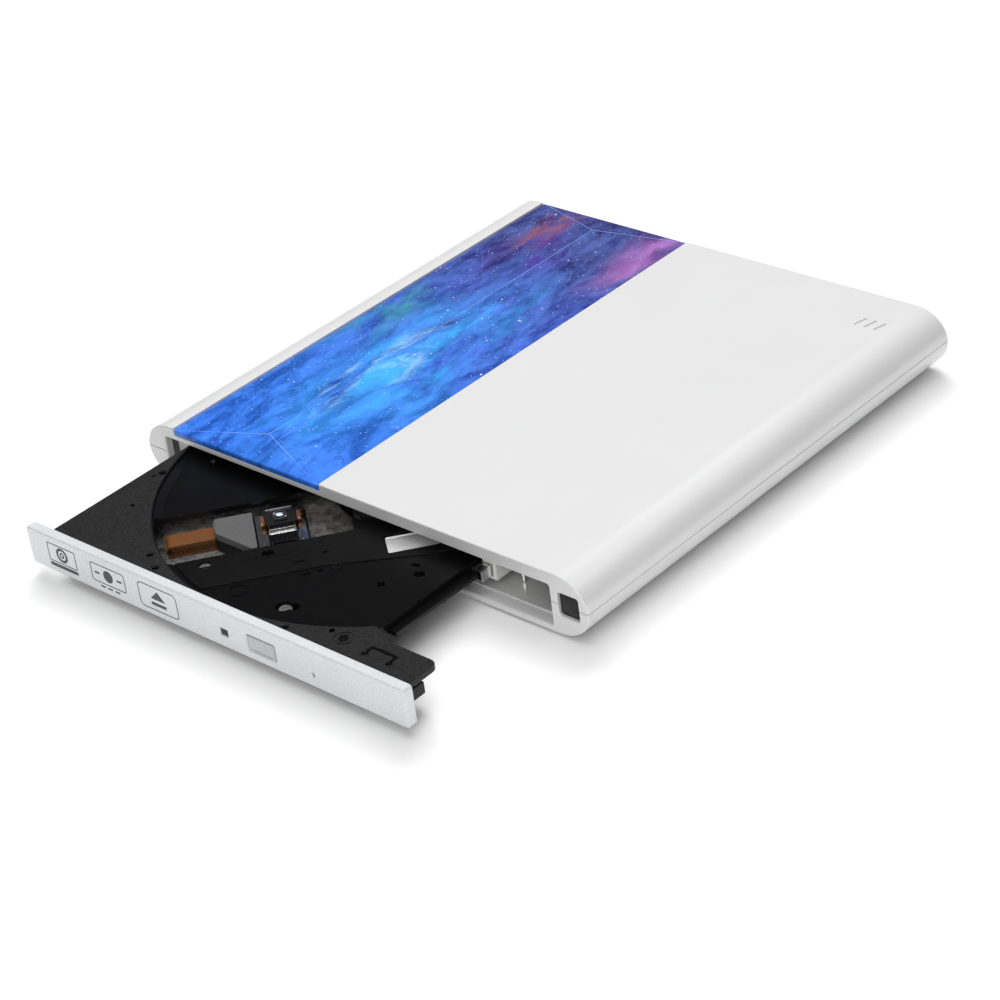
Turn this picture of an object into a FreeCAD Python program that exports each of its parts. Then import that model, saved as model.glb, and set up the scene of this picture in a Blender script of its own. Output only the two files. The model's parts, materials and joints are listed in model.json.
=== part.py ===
"""External slim optical drive with its tray part open.

Frame: X to the right along the front, Y to the rear, Z up, in millimetres. The origin is the middle of the
footprint, tray included, at the surface that the feet stand on. Heights in the sheet are measured up from
the underside of the case. Depths of the case are measured back from its front face, and depths of the tray
from the bezel's front face. The pickup and all that guides it is drawn in a frame of its own: origin at the
disc's centre, X outward along the pickup's travel, turned to sled_heading.
"""

import FreeCAD, Part
import os
import re

import Sketcher

os.makedirs("parts", exist_ok=True)
doc = FreeCAD.newDocument("optical_drive")
sheet = doc.addObject("Spreadsheet::Sheet", "Dims")

# ---------------------------------------------------------------- driving dimensions

DIMENSIONS = {
    # case
    "case_width": 148, "case_depth": 146.5, "case_thick": 16.4, "side_bulge": 9.5, "parting": 8.45,
    "shell_wall": 1.6, "front_wall": 2.0, "foot_height": 0.8, "foot_radius": 5, "foot_inset": 14,
    "mouth_left": -66.8, "mouth_right": 62.7, "mouth_low": 1.6, "mouth_high": 12.85,
    "channel_left": -62.9, "channel_right": -10.5, "channel_floor": 14.4, "channel_wall": 1.0,
    "panel_gap": 0.15, "panel_rim": 1.55, "roof_rise": 1.95, "hip_inset": 9.4,
    "slot_left": 56.8, "slot_back": 14.4, "slot_pitch": 3.0, "slot_long": 4.0, "slot_wide": 0.5,
    "slot_lean": 14, "slot_sunk": 0.8,
    "plug_left": 65.0, "plug_right": 71.2, "plug_low": 5.3, "plug_high": 11.7,
    "plug_depth": 3.4, "plug_facet": 0.9,
    "boss_across": 60, "boss_depth": 139.6, "boss_radius": 2.5, "screw_radius": 0.8, "head_radius": 1.7,
    "head_thick": 0.9, "head_sunk": 0.2, "screw_gap": 0.08,
    # drive chassis
    "chassis_left": -66.5, "chassis_right": 62.4, "chassis_front": 3.6, "chassis_back": 131.0,
    "sheet_thick": 0.5, "chassis_top": 12.9, "board_left": 45.5, "board_right": 60.5, "board_front": 34,
    "board_back": 127, "board_low": 2.9, "board_thick": 0.8, "bridge_front": 132.6, "bridge_back": 144.4,
    "bridge_left": -30, "bridge_right": 56, "bridge_low": 4.2, "port_x": -8, "port_width": 8.94,
    "port_height": 3.2, "port_long": 7.3, "port_wall": 0.3, "plug_bay_left": 44.5, "plug_bay_right": 60,
    # tray
    "tray_out": 48, "tray_length": 127.1, "bezel_thick": 2.9, "bezel_left": -65.8, "bezel_right": 62.0,
    "bezel_low": 2.1, "bezel_high": 12.6, "tray_left": -59.3, "tray_right": 37.8, "ear_right": 60.3,
    "ear_depth": 13.0, "ear_thick": 1.9, "rim_level": 11.9, "recess_floor": 9.7, "ledge_level": 10.5,
    "ledge_width": 2.0, "deck_under": 8.3, "skirt_low": 4.9, "skirt_wall": 1.5, "tub_low": 2.85,
    "tub_left": -53.5, "tub_right": 32.0, "tub_back": 112, "tub_wall": 1.2, "pan_low": 2.4,
    "disc_x": 1.0, "disc_depth": 65.0, "recess_radius": 62.0, "sled_heading": 231, "hub_hole": 16.5,
    # rails
    "rail_low": 5.9, "rail_high": 8.9, "rail_sheet": 0.5, "rail_play": 0.5, "rail_reach": 3.2,
    "rail_long": 100, "guide_low": 5.0, "guide_high": 9.8, "guide_lip": 0.65, "guide_play": 0.4,
    "guide_long": 124, "guide_web": 1.1, "tongue_low": 6.8, "tongue_high": 8.0, "tongue_reach": 2.5,
    "tongue_front": 20, "tongue_back": 128,
    # bezel furniture
    "button_x": 16.3, "button_wide": 9.0, "button_low": 4.6, "button_high": 8.9, "button_proud": 0.2,
    "button_deep": 1.9, "button_play": 0.15, "lamp_x": 3.8, "lamp_wide": 2.6, "lamp_low": 5.4,
    "lamp_high": 7.4, "pinhole_x": 32.8, "pinhole_z": 5.5, "pinhole_radius": 0.55,
    # spindle
    "spigot_radius": 7.45, "disc_level": 10.6, "spigot_top": 12.4, "flange_radius": 14.6,
    "rotor_radius": 12.0, "shaft_radius": 1.0, "shaft_gap": 0.05, "claw_wide": 2.4, "claw_low": 11.2,
    # pickup and its drive
    "lens_reach": 30.9, "rod_level": 6.4, "rod_radius": 1.0, "rod_gap": 0.05, "main_rod": 18.5,
    "side_rod": -12.5, "screw_line": 23.5, "screw_thick": 1.15, "journal_radius": 0.6,
    "plate_low": 3.3, "plate_high": 3.9, "bracket_high": 9.5, "carriage_low": 4.4, "carriage_high": 7.0,
    "arm_low": 4.6, "arm_high": 8.0, "shield_high": 8.9, "yoke_high": 7.4, "ribbon_thick": 0.15,
    # latch
    "pivot_x": 47.7, "pivot_depth": 6.0, "pivot_radius": 0.8, "lever_low": 3.3, "lever_high": 4.5,
    "released_angle": -22, "post_x": 45.4, "post_depth": 10.0, "post_radius": 0.9,
    "solenoid_left": 51.2, "plunger_radius": 0.9,
}

for row, (name, value) in enumerate(DIMENSIONS.items(), 1):
    sheet.set(f"A{row}", name)
    sheet.set(f"B{row}", str(value))
    sheet.setAlias(f"B{row}", name)
doc.recompute()

SUBPARTS = []

# ---------------------------------------------------------------- positions and bindings


def in_case(depth):
    """Y of a point some way behind the front face of the case."""
    return f"(tray_out - case_depth) / 2 + ({depth})"


def in_tray(depth):
    """Y of a point some way behind the front face of the bezel, as the tray stands."""
    return f"-(tray_out + case_depth) / 2 + ({depth})"


def height(level):
    """Z of a level above the underside of the case."""
    return f"foot_height + ({level})"


def bind(item, prop, text):
    """Binds a property to an expression in the sheet's names."""
    known = re.sub(r"[a-z]\w*", lambda m: f"Dims.{m[0]}" if m[0] in DIMENSIONS else m[0], str(text))
    item.setExpression(prop, known)


def place(item, x="0", y="0", z="0"):
    for axis, text in zip("xyz", (x, y, z)):
        bind(item, f".Placement.Base.{axis}", text)
    return item


def node(item):
    """Marks an object as a sub-part, which goes to a file of its own."""
    SUBPARTS.append(item)
    return item


# ---------------------------------------------------------------- primitives and booleans


def box(name, x, y, z):
    solid = doc.addObject("Part::Box", name)
    for side, (low, high) in zip(("Length", "Width", "Height"), (x, y, z)):
        bind(solid, side, f"({high}) - ({low})")
    return place(solid, x[0], y[0], z[0])


TURNS = {
    "z": FreeCAD.Rotation(),
    "x": FreeCAD.Rotation(FreeCAD.Vector(0, 1, 0), 90),
    "y": FreeCAD.Rotation(FreeCAD.Vector(1, 0, 0), -90),
}


def cylinder(name, radius, centre, span, axis="z"):
    """A cylinder along an axis: centre in the two other axes, in order, and span along its own."""
    solid = doc.addObject("Part::Cylinder", name)
    bind(solid, "Radius", radius)
    bind(solid, "Height", f"({span[1]}) - ({span[0]})")
    solid.Placement.Rotation = TURNS[axis]
    where = list(centre)
    where.insert("xyz".index(axis), span[0])
    return place(solid, *where)


def fuse(name, *shapes):
    solid = doc.addObject("Part::MultiFuse", name)
    solid.Shapes = list(shapes)
    solid.Refine = True
    return solid


def cut(name, base, *tools):
    tool = tools[0] if len(tools) == 1 else fuse(name + "_tools", *tools)
    solid = doc.addObject("Part::Cut", name)
    solid.Base = base
    solid.Tool = tool
    return solid


def common(name, *shapes):
    solid = doc.addObject("Part::MultiCommon", name)
    solid.Shapes = list(shapes)
    return solid


def group(name, *solids):
    """Separate solids that share one node."""
    kept = doc.addObject("Part::Compound", name)
    kept.Links = list(solids)
    return kept


def in_sled_frame(item):
    """Turns an object that was drawn about the disc's centre along the pickup's travel."""
    item.Placement.Rotation = FreeCAD.Rotation(FreeCAD.Vector(0, 0, 1), float(sheet.sled_heading))
    bind(item, ".Placement.Base.x", "disc_x")
    bind(item, ".Placement.Base.y", in_tray("disc_depth"))
    return item


# ---------------------------------------------------------------- sketched bodies


def origin_plane(body, role):
    return next(item for item in body.Origin.OriginFeatures if item.Role == role)


def sketch_on(body, name, plane, offset):
    sketch = body.newObject("Sketcher::SketchObject", name)
    sketch.AttachmentSupport = [(origin_plane(body, plane), "")]
    sketch.MapMode = "FlatFace"
    bind(sketch, ".AttachmentOffset.Base.z", offset)
    return sketch


def fix_point(sketch, geometry, vertex, x, y):
    for kind, text in (("DistanceX", x), ("DistanceY", y)):
        index = sketch.addConstraint(Sketcher.Constraint(kind, -1, 1, geometry, vertex, 1.0))
        bind(sketch, f"Constraints[{index}]", text)


def draw_outline(sketch, points):
    """A closed outline of straight sides through points given in the sheet's names."""
    count = len(points)
    first = sketch.GeometryCount
    for index in range(count):
        start = FreeCAD.Vector(index, index % 2, 0)
        end = FreeCAD.Vector(index + 1, (index + 1) % 2, 0)
        sketch.addGeometry(Part.LineSegment(start, end))
    for index in range(count):
        following = first + (index + 1) % count
        sketch.addConstraint(Sketcher.Constraint("Coincident", first + index, 2, following, 1))
    for index, (x, y) in enumerate(points):
        fix_point(sketch, first + index, 1, x, y)


def draw_circle(sketch, x, y, radius):
    circle = sketch.addGeometry(Part.Circle(FreeCAD.Vector(0, 0, 0), FreeCAD.Vector(0, 0, 1), 1))
    fix_point(sketch, circle, 3, x, y)
    index = sketch.addConstraint(Sketcher.Constraint("Radius", circle, 1.0))
    bind(sketch, f"Constraints[{index}]", radius)


def add_pad(body, name, plane, points, low, high, holes=()):
    """A slab between two levels along the plane's axis.

    The XZ plane faces -Y, the others face up their axis.
    """
    toward_minus = plane == "XZ_Plane"
    sketch = sketch_on(body, name + "_sketch", plane, f"-({high})" if toward_minus else low)
    draw_outline(sketch, points)
    for hole in holes:
        draw_circle(sketch, *hole)
    pad = body.newObject("PartDesign::Pad", name)
    pad.Profile = sketch
    bind(pad, "Length", f"({high}) - ({low})")
    return pad


def add_pocket(body, name, low, high, points=None, circles=()):
    """A cut between two heights."""
    sketch = sketch_on(body, name + "_sketch", "XY_Plane", high)
    if points:
        draw_outline(sketch, points)
    for circle in circles:
        draw_circle(sketch, *circle)
    pocket = body.newObject("PartDesign::Pocket", name)
    pocket.Profile = sketch
    bind(pocket, "Length", f"({high}) - ({low})")
    return pocket


def slab(name, points, low, high, holes=(), plane="XY_Plane"):
    body = doc.addObject("PartDesign::Body", name)
    add_pad(body, name + "_pad", plane, points, low, high, holes)
    return body


def turned(name, profile):
    """A body of revolution about Z at the disc's centre, from points of radius and height."""
    body = doc.addObject("PartDesign::Body", name)
    sketch = sketch_on(body, name + "_profile", "XZ_Plane", "0")
    draw_outline(sketch, profile)
    turn = body.newObject("PartDesign::Revolution", name + "_turn")
    turn.Profile = sketch
    turn.ReferenceAxis = (sketch, ["V_Axis"])
    turn.Angle = 360
    return place(body, "disc_x", in_tray("disc_depth"), "0")


def round_edges(body, name, radius, wanted):
    """A fillet on the edges of a body's last feature that wanted(edge) picks."""
    doc.recompute()
    names = [f"Edge{i}" for i, edge in enumerate(body.Shape.Edges, 1) if wanted(edge)]
    base = body.Tip
    fillet = body.newObject("PartDesign::Fillet", name)
    fillet.Base = (base, names)
    fillet.Radius = radius
    return fillet


def runs_to_the_rear(edge):
    """Whether an edge is a straight one along Y, longer than a plate is thick."""
    return edge.BoundBox.YLength > 2 and edge.BoundBox.DiagonalLength - edge.BoundBox.YLength < 0.01


def rectangle(x, y):
    return [(x[0], y[0]), (x[1], y[0]), (x[1], y[1]), (x[0], y[1])]


# ---------------------------------------------------------------- case


def rounded_block(name, inset, low, high, front, back):
    """The case's outline less a wall: flat top and bottom, half-elliptic long sides."""
    middle = height("case_thick / 2")
    pieces = [box(
        name + "_middle",
        ("side_bulge - case_width / 2", "case_width / 2 - side_bulge"),
        (in_case(front), in_case(back)),
        (height(inset), height(f"case_thick - ({inset})")),
    )]
    for side, sign in (("left", "-"), ("right", "")):
        curve = doc.addObject("Part::Ellipse", f"{name}_{side}_curve")
        bind(curve, "MajorRadius", f"side_bulge - ({inset})")
        bind(curve, "MinorRadius", f"case_thick / 2 - ({inset})")
        curve.Placement.Rotation = FreeCAD.Rotation(FreeCAD.Vector(1, 0, 0), 90)
        place(curve, f"{sign}(case_width / 2 - side_bulge)", in_case(front), middle)
        bar = doc.addObject("Part::Extrusion", f"{name}_{side}_bar")
        bar.Base = curve
        bar.DirMode = "Custom"
        bar.Dir = FreeCAD.Vector(0, 1, 0)
        bar.Solid = True
        bind(bar, "LengthFwd", f"({in_case(back)}) - ({in_case(front)})")
        pieces.append(bar)
    whole = fuse(name + "_whole", *pieces)
    band = box(
        name + "_band",
        ("-case_width", "case_width"),
        (in_case("-case_depth"), in_case("2 * case_depth")),
        (height(low), height(high)),
    )
    return common(name, whole, band)


def plug_socket(name):
    return box(
        name, ("plug_left", "plug_right"), (in_case("-1"), in_case("plug_depth")),
        (height("plug_low"), height("plug_high")),
    )


def mouth(name):
    """The front opening, carried back as the bay that the chassis lies in."""
    return box(
        name, ("mouth_left", "mouth_right"), (in_case("-1"), in_case("chassis_back + 0.2")),
        (height("mouth_low"), height("mouth_high")),
    )


def bosses(name, radius, low, high):
    solids = []
    for side, sign in (("left", "-"), ("right", "")):
        solids.append(cylinder(
            f"{name}_{side}", radius, (f"{sign}boss_across", in_case("boss_depth")),
            (height(low), height(high)),
        ))
    return solids


def make_bottom_shell():
    outer = rounded_block("bottom_outer", "0", "0", "parting", "0", "case_depth")
    inner = rounded_block(
        "bottom_inner", "shell_wall", "shell_wall", "parting + 1", "front_wall", "case_depth - shell_wall"
    )
    hollow = cut("bottom_hollow", outer, inner, mouth("bottom_mouth"))
    plug_wall = box(
        "bottom_plug_wall", ("plug_left - 1.2", "case_width / 2 - 3"),
        (in_case("0.5"), in_case("plug_depth + 1.2")), (height("3.6"), height("parting")),
    )
    port_posts = [
        box(
            f"bottom_board_post_{i}", (x, f"{x} + 3"),
            (in_case("bridge_front + 1"), in_case("bridge_back - 1")), (height("1"), height("bridge_low")),
        )
        for i, x in enumerate(("bridge_left + 3", "bridge_right - 12"))
    ]
    solid = fuse(
        "bottom_solid", hollow, plug_wall, *port_posts, *bosses("bottom_boss", "boss_radius", "1", "parting")
    )
    port = box(
        "bottom_port_hole", ("port_x - 0.15", "port_x + port_width + 0.15"),
        (in_case("case_depth - 3"), in_case("case_depth + 1")),
        (height("bridge_low + board_thick - 0.15"), height("bridge_low + board_thick + port_height + 0.1")),
    )
    node(cut(
        "bottom_shell", solid, plug_socket("bottom_plug_socket"), port,
        *bosses("bottom_screw_hole", "screw_radius + screw_gap", "-1", "parting + 1"),
        *bosses("bottom_head_recess", "head_radius + 0.2", "-1", "head_thick + head_sunk"),
    ))


def vent_slots():
    """Three slanted slots sunk into the top at the right rear."""
    slots = []
    for index in range(3):
        slot = doc.addObject("Part::Box", f"vent_slot_{index}")
        bind(slot, "Length", "slot_wide")
        bind(slot, "Width", "slot_long")
        bind(slot, "Height", "shell_wall * 2")
        slot.Placement.Rotation = FreeCAD.Rotation(FreeCAD.Vector(0, 0, 1), -float(sheet.slot_lean))
        place(
            slot, f"slot_left + {index} * slot_pitch - slot_wide",
            in_case("case_depth - slot_back - slot_long / 2"), height("case_thick - slot_sunk"),
        )
        slots.append(slot)
    return slots


def make_top_shell():
    outer = rounded_block("top_outer", "0", "parting", "case_thick", "0", "case_depth")
    inner = rounded_block(
        "top_inner", "shell_wall", "parting - 1", "case_thick - shell_wall", "front_wall",
        "case_depth - shell_wall",
    )
    under_channel = box(
        "top_channel_bed", ("channel_left - channel_wall", "channel_right + channel_wall"),
        (in_case("-1"), in_case("case_depth + 1")),
        (height("channel_floor - channel_wall"), height("case_thick + 1")),
    )
    room = cut("top_room", inner, under_channel)
    hollow = cut("top_hollow", outer, room, mouth("top_mouth"))
    plug_wall = box(
        "top_plug_wall", ("plug_left - 1.2", "case_width / 2 - 3"),
        (in_case("0.5"), in_case("plug_depth + 1.2")), (height("parting"), height("13.2")),
    )
    solid = fuse(
        "top_solid", hollow, plug_wall, *bosses("top_boss", "boss_radius", "parting", "case_thick - 1")
    )
    channel = box(
        "top_channel", ("channel_left", "channel_right"), (in_case("-1"), in_case("case_depth + 1")),
        (height("channel_floor"), height("case_thick + 1")),
    )
    node(cut(
        "top_shell", solid, channel, plug_socket("top_plug_socket"), *vent_slots(),
        *bosses("top_screw_hole", "screw_radius + screw_gap", "parting - 1", "channel_floor - channel_wall"),
    ))


def make_facet_panel():
    """The long panel in the channel: a flat rim with a hipped roof on it."""
    left, right = "channel_left + panel_gap", "channel_right - panel_gap"
    rim = box(
        "panel_rim_slab", (left, right), (in_case("0"), in_case("case_depth")),
        (height("channel_floor"), height("channel_floor + panel_rim")),
    )
    roof = doc.addObject("Part::Wedge", "panel_roof")
    width = f"(({right}) - ({left}))"
    # The wedge tapers along its own Y, so it is laid with that axis up and its Z toward the front.
    for prop, text in {
        "Xmin": "0", "Xmax": width, "Ymin": "0", "Ymax": "roof_rise", "Zmin": "0", "Zmax": "case_depth",
        "X2min": f"{width} / 2", "X2max": f"{width} / 2",
        "Z2min": "hip_inset", "Z2max": "case_depth - hip_inset",
    }.items():
        bind(roof, prop, text)
    roof.Placement.Rotation = FreeCAD.Rotation(FreeCAD.Vector(1, 0, 0), 90)
    place(roof, left, in_case("case_depth"), height("channel_floor + panel_rim"))
    node(fuse("facet_panel", rim, roof))


def make_end_plug():
    stem = box(
        "plug_stem", ("plug_left + 0.1", "plug_right - 0.1"),
        (in_case("plug_facet"), in_case("plug_depth - 0.1")),
        (height("plug_low + 0.1"), height("plug_high - 0.1")),
    )
    facets = doc.addObject("Part::Wedge", "plug_facets")
    wide, tall = "(plug_right - plug_left - 0.2)", "(plug_high - plug_low - 0.2)"
    for prop, text in {
        "Xmin": "0", "Xmax": wide, "Ymin": "0", "Ymax": "plug_facet", "Zmin": "0", "Zmax": tall,
        "X2min": f"{wide} / 2", "X2max": f"{wide} / 2", "Z2min": f"{tall} / 2", "Z2max": f"{tall} / 2",
    }.items():
        bind(facets, prop, text)
    facets.Placement.Rotation = FreeCAD.Rotation(FreeCAD.Vector(0, 0, 1), 180)
    place(facets, "plug_right - 0.1", in_case("plug_facet"), height("plug_low + 0.1"))
    node(fuse("end_plug", stem, facets))


def make_feet():
    feet = []
    for index, (x, depth) in enumerate((
        ("foot_inset - case_width / 2", "foot_inset"), ("case_width / 2 - foot_inset", "foot_inset"),
        ("foot_inset - case_width / 2", "case_depth - foot_inset"),
        ("case_width / 2 - foot_inset", "case_depth - foot_inset"),
    )):
        feet.append(cylinder(f"foot_{index}", "foot_radius", (x, in_case(depth)), ("0", "foot_height")))
    node(group("rubber_feet", *feet))


def make_case_screws():
    screws = []
    for side, sign in (("left", "-"), ("right", "")):
        where = (f"{sign}boss_across", in_case("boss_depth"))
        head = cylinder(
            f"screw_head_{side}", "head_radius", where,
            (height("head_sunk"), height("head_sunk + head_thick")),
        )
        shank = cylinder(
            f"screw_shank_{side}", "screw_radius", where, (height("head_thick"), height("parting + 3.5"))
        )
        slot_box = [
            box(
                f"screw_slot_{side}_{i}", (f"{where[0]} - {a}", f"{where[0]} + {a}"),
                (f"{where[1]} - {b}", f"{where[1]} + {b}"), (height("0"), height("0.6")),
            )
            for i, (a, b) in enumerate(((1.0, 0.2), (0.2, 1.0)))
        ]
        screws.append(cut(f"case_screw_{side}", fuse(f"screw_solid_{side}", head, shank), *slot_box))
    node(group("case_screws", *screws))


# ---------------------------------------------------------------- chassis, boards and inlet


def make_chassis():
    span_x = ("chassis_left", "chassis_right")
    span_y = (in_case("chassis_front"), in_case("chassis_back"))
    block = box("chassis_block", span_x, span_y, (height("mouth_low"), height("chassis_top")))
    room = box(
        "chassis_room", ("chassis_left + sheet_thick", "chassis_right - sheet_thick"),
        (in_case("chassis_front - 1"), in_case("chassis_back - sheet_thick")),
        (height("mouth_low + sheet_thick"), height("chassis_top + 1")),
    )
    rear_gate = box(
        "chassis_gate", ("plug_bay_left - 0.4", "plug_bay_right + 0.4"),
        (in_case("chassis_back - 2"), in_case("chassis_back + 1")), (height("board_low"), height("9.4")),
    )
    node(cut("chassis", block, room, rear_gate))
    node(box(
        "chassis_cover", span_x, span_y, (height("chassis_top"), height("chassis_top + sheet_thick - 0.1"))
    ))
    node(cylinder(
        "latch_post", "post_radius", ("post_x", in_case("post_depth")),
        (height("mouth_low + sheet_thick"), height("lever_high + 0.4")),
    ))


def make_guides():
    """A channel on each side of the chassis, open toward the tray, that the telescopic rail runs in."""
    front, back = in_case("chassis_front"), in_case("chassis_front + guide_long")
    for side, sign, edge, outside in (
        ("left", "-", "tray_left", "chassis_left + sheet_thick"),
        ("right", "+", "tray_right", "tray_right + rail_play + rail_reach + guide_play + guide_web"),
    ):
        inner = f"{edge} {sign} 1.0"
        web = f"{edge} {sign} (rail_play + rail_reach + guide_play)"
        channel = slab(
            f"guide_channel_{side}", [
                (inner, height("guide_low")), (outside, height("guide_low")), (outside, height("guide_high")),
                (inner, height("guide_high")), (inner, height("guide_high - guide_lip")),
                (web, height("guide_high - guide_lip")), (web, height("guide_low + guide_lip")),
                (inner, height("guide_low + guide_lip")),
            ], front, back, plane="XZ_Plane",
        )
        if side == "left":
            node(group("rail_guide_left", channel))
        else:
            # It stands on the chassis floor, behind the space that the latch lever sweeps.
            foot = box(
                "guide_foot", (web, outside), (in_case("16"), back),
                (height("mouth_low + sheet_thick"), height("guide_low + guide_lip")),
            )
            node(fuse("rail_guide_right", channel, foot))


def make_rails():
    """A sheet-steel channel on each side, which carries the tray and goes half as far as it does."""
    for side, sign, edge in (("left", "-", "tray_left"), ("right", "+", "tray_right")):
        inner = f"{edge} {sign} rail_play"
        web = f"{edge} {sign} (rail_play + rail_reach - rail_sheet)"
        outer = f"{edge} {sign} (rail_play + rail_reach)"
        outline = [
            (inner, height("rail_low")), (outer, height("rail_low")), (outer, height("rail_high")),
            (inner, height("rail_high")), (inner, height("rail_high - rail_sheet")),
            (web, height("rail_high - rail_sheet")), (web, height("rail_low + rail_sheet")),
            (inner, height("rail_low + rail_sheet")),
        ]
        node(slab(f"rail_{side}", outline, in_case("0.2"), in_case("0.2 + rail_long"), plane="XZ_Plane"))


def chips(name, level, sizes):
    """Packages standing on a board: left, front, width, depth and height of each, in millimetres."""
    solids = []
    for index, (left, front, wide, deep, tall) in enumerate(sizes):
        solids.append(box(
            f"{name}_{index}", (left, f"{left} + {wide}"), (in_case(front), in_case(f"{front} + {deep}")),
            (height(level), height(f"{level} + {tall}")),
        ))
    return node(group(name, *solids))


def make_boards():
    node(box(
        "main_board", ("board_left", "board_right"), (in_case("board_front"), in_case("board_back")),
        (height("board_low"), height("board_low + board_thick")),
    ))
    chips("main_board_chips", "board_low + board_thick", (
        ("board_left + 2", "board_front + 20", 10, 10, 1.2),
        ("board_left + 3", "board_front + 36", 7, 12, 1.1),
        ("board_left + 3", "board_front + 54", 9, 9, 1.0),
        ("board_left + 4", "board_front + 68", 4, 3, 2.2),
        ("board_left + 1", "board_front + 3", 3, 12, 1.6),
    ))
    node(box(
        "bridge_board", ("bridge_left", "bridge_right"), (in_case("bridge_front"), in_case("bridge_back")),
        (height("bridge_low"), height("bridge_low + board_thick")),
    ))
    chips("bridge_chips", "bridge_low + board_thick", (
        ("bridge_left + 4", "bridge_front + 2.5", 7, 7, 1.0),
        ("bridge_left + 48", "bridge_front + 3", 5, 4, 1.2),
        ("bridge_left + 60", "bridge_front + 2", 3.2, 2.5, 1.8),
    ))
    node(box(
        "drive_connector", ("plug_bay_left", "plug_bay_right"),
        (in_case("board_back - 1"), in_case("bridge_front + 2.4")),
        (height("bridge_low + board_thick"), height("bridge_low + board_thick + 3.6")),
    ))
    make_port()


def make_port():
    """The receptacle on the rear board: a drawn steel cup with a tongue in it."""
    corner = 1.4
    level = "bridge_low + board_thick"
    shell = slab(
        "usb_shell", rectangle(
            ("port_x", "port_x + port_width"), (height(level), height(f"{level} + port_height"))
        ), in_case("case_depth - port_long"), in_case("case_depth"), plane="XZ_Plane",
    )
    round_edges(shell, "usb_shell_round", corner, runs_to_the_rear)
    socket_room = slab(
        "usb_room", rectangle(
            ("port_x + port_wall", "port_x + port_width - port_wall"),
            (height(f"{level} + port_wall"), height(f"{level} + port_height - port_wall")),
        ), in_case("case_depth - port_long + 1"), in_case("case_depth + 1"), plane="XZ_Plane",
    )
    round_edges(socket_room, "usb_room_round", corner - 0.25, runs_to_the_rear)
    tongue = box(
        "usb_tongue", ("port_x + 1.3", "port_x + port_width - 1.3"),
        (in_case("case_depth - port_long + 0.5"), in_case("case_depth - 0.6")),
        (height(f"{level} + port_height / 2 - 0.35"), height(f"{level} + port_height / 2 + 0.35")),
    )
    node(fuse("usb_socket", cut("usb_cup", shell, socket_room), tongue))


# ---------------------------------------------------------------- tray


def make_tray():
    """The moulded tray: deck with the disc's recess, side walls, ear, and the tub that holds the traverse."""
    body = doc.addObject("PartDesign::Body", "tray_blank")
    front, back = in_tray("bezel_thick"), in_tray("bezel_thick + tray_length")
    add_pad(
        body, "tray_block", "XY_Plane", rectangle(("tray_left", "tray_right"), (front, back)),
        height("skirt_low"), height("rim_level"),
    )
    ear = [
        ("tray_right - 8", front), ("ear_right", front), ("ear_right", in_tray("ear_depth")),
        ("tray_right + 5", in_tray("ear_depth")), ("tray_right", in_tray("ear_depth + 4")),
        ("tray_right - 8", in_tray("ear_depth + 4")),
    ]
    add_pad(body, "tray_ear", "XY_Plane", ear, height("rim_level - ear_thick"), height("rim_level"))
    add_pad(
        body, "tray_tub", "XY_Plane", rectangle(("tub_left", "tub_right"), (front, in_tray("tub_back"))),
        height("tub_low"), height("skirt_low"),
    )
    for side, across in (
        ("left", ("tray_left - tongue_reach", "tray_left + skirt_wall")),
        ("right", ("tray_right - skirt_wall", "tray_right + tongue_reach")),
    ):
        add_pad(
            body, f"tray_tongue_{side}", "XY_Plane",
            rectangle(across, (in_tray("tongue_front"), in_tray("tongue_back"))),
            height("tongue_low"), height("tongue_high"),
        )
    recess = body.newObject("PartDesign::Groove", "tray_recess")
    sketch = sketch_on(body, "tray_recess_profile", "XZ_Plane", f"-({in_tray('disc_depth')})")
    draw_outline(sketch, [
        ("disc_x", height("recess_floor")),
        ("disc_x + recess_radius - ledge_width", height("recess_floor")),
        ("disc_x + recess_radius", height("ledge_level")),
        ("disc_x + recess_radius", height("rim_level + 1")),
        ("disc_x", height("rim_level + 1")),
    ])
    recess.Profile = sketch
    recess.ReferenceAxis = (sketch, ["Edge5"])
    recess.Angle = 360
    body.Tip = recess
    # Under the deck, between the outer walls and the tub's walls, and inside the tub.
    add_pocket(
        body, "tray_left_bay", height("skirt_low - 1"), height("deck_under"), rectangle(
            ("tray_left + skirt_wall", "tub_left"),
            (in_tray("bezel_thick + skirt_wall"), in_tray("tub_back")),
        ),
    )
    add_pocket(
        body, "tray_right_bay", height("skirt_low - 1"), height("deck_under"), rectangle(
            ("tub_right", "tray_right - skirt_wall"),
            (in_tray("bezel_thick + skirt_wall"), in_tray("tub_back")),
        ),
    )
    add_pocket(
        body, "tray_rear_bay", height("skirt_low - 1"), height("deck_under"), rectangle(
            ("tray_left + skirt_wall", "tray_right - skirt_wall"),
            (in_tray("tub_back"), in_tray("bezel_thick + tray_length - skirt_wall")),
        ),
    )
    add_pocket(
        body, "tray_tub_bay", height("tub_low - 1"), height("deck_under"), rectangle(
            ("tub_left + tub_wall", "tub_right - tub_wall"),
            (in_tray("bezel_thick + skirt_wall"), in_tray("tub_back - tub_wall")),
        ),
    )
    body.Tip = body.Group[-1]
    return body


# Across and depth behind the case's front, then radius, of the small round holes in the deck.
DECK_HOLES = (
    (-16.8, -33.8, 1.6), (-7.1, -22.0, 1.6), (25.4, -16.9, 1.0), (30.2, -8.9, 1.3), (15.3, -11.3, 0.6),
    (8.6, -20.2, 0.6),
)


# Along and across the pickup's travel: the opening over the sled's motor.
MOTOR_GAP = (("-5.2", "7.8"), ("20.2", "28.2"))


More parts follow.
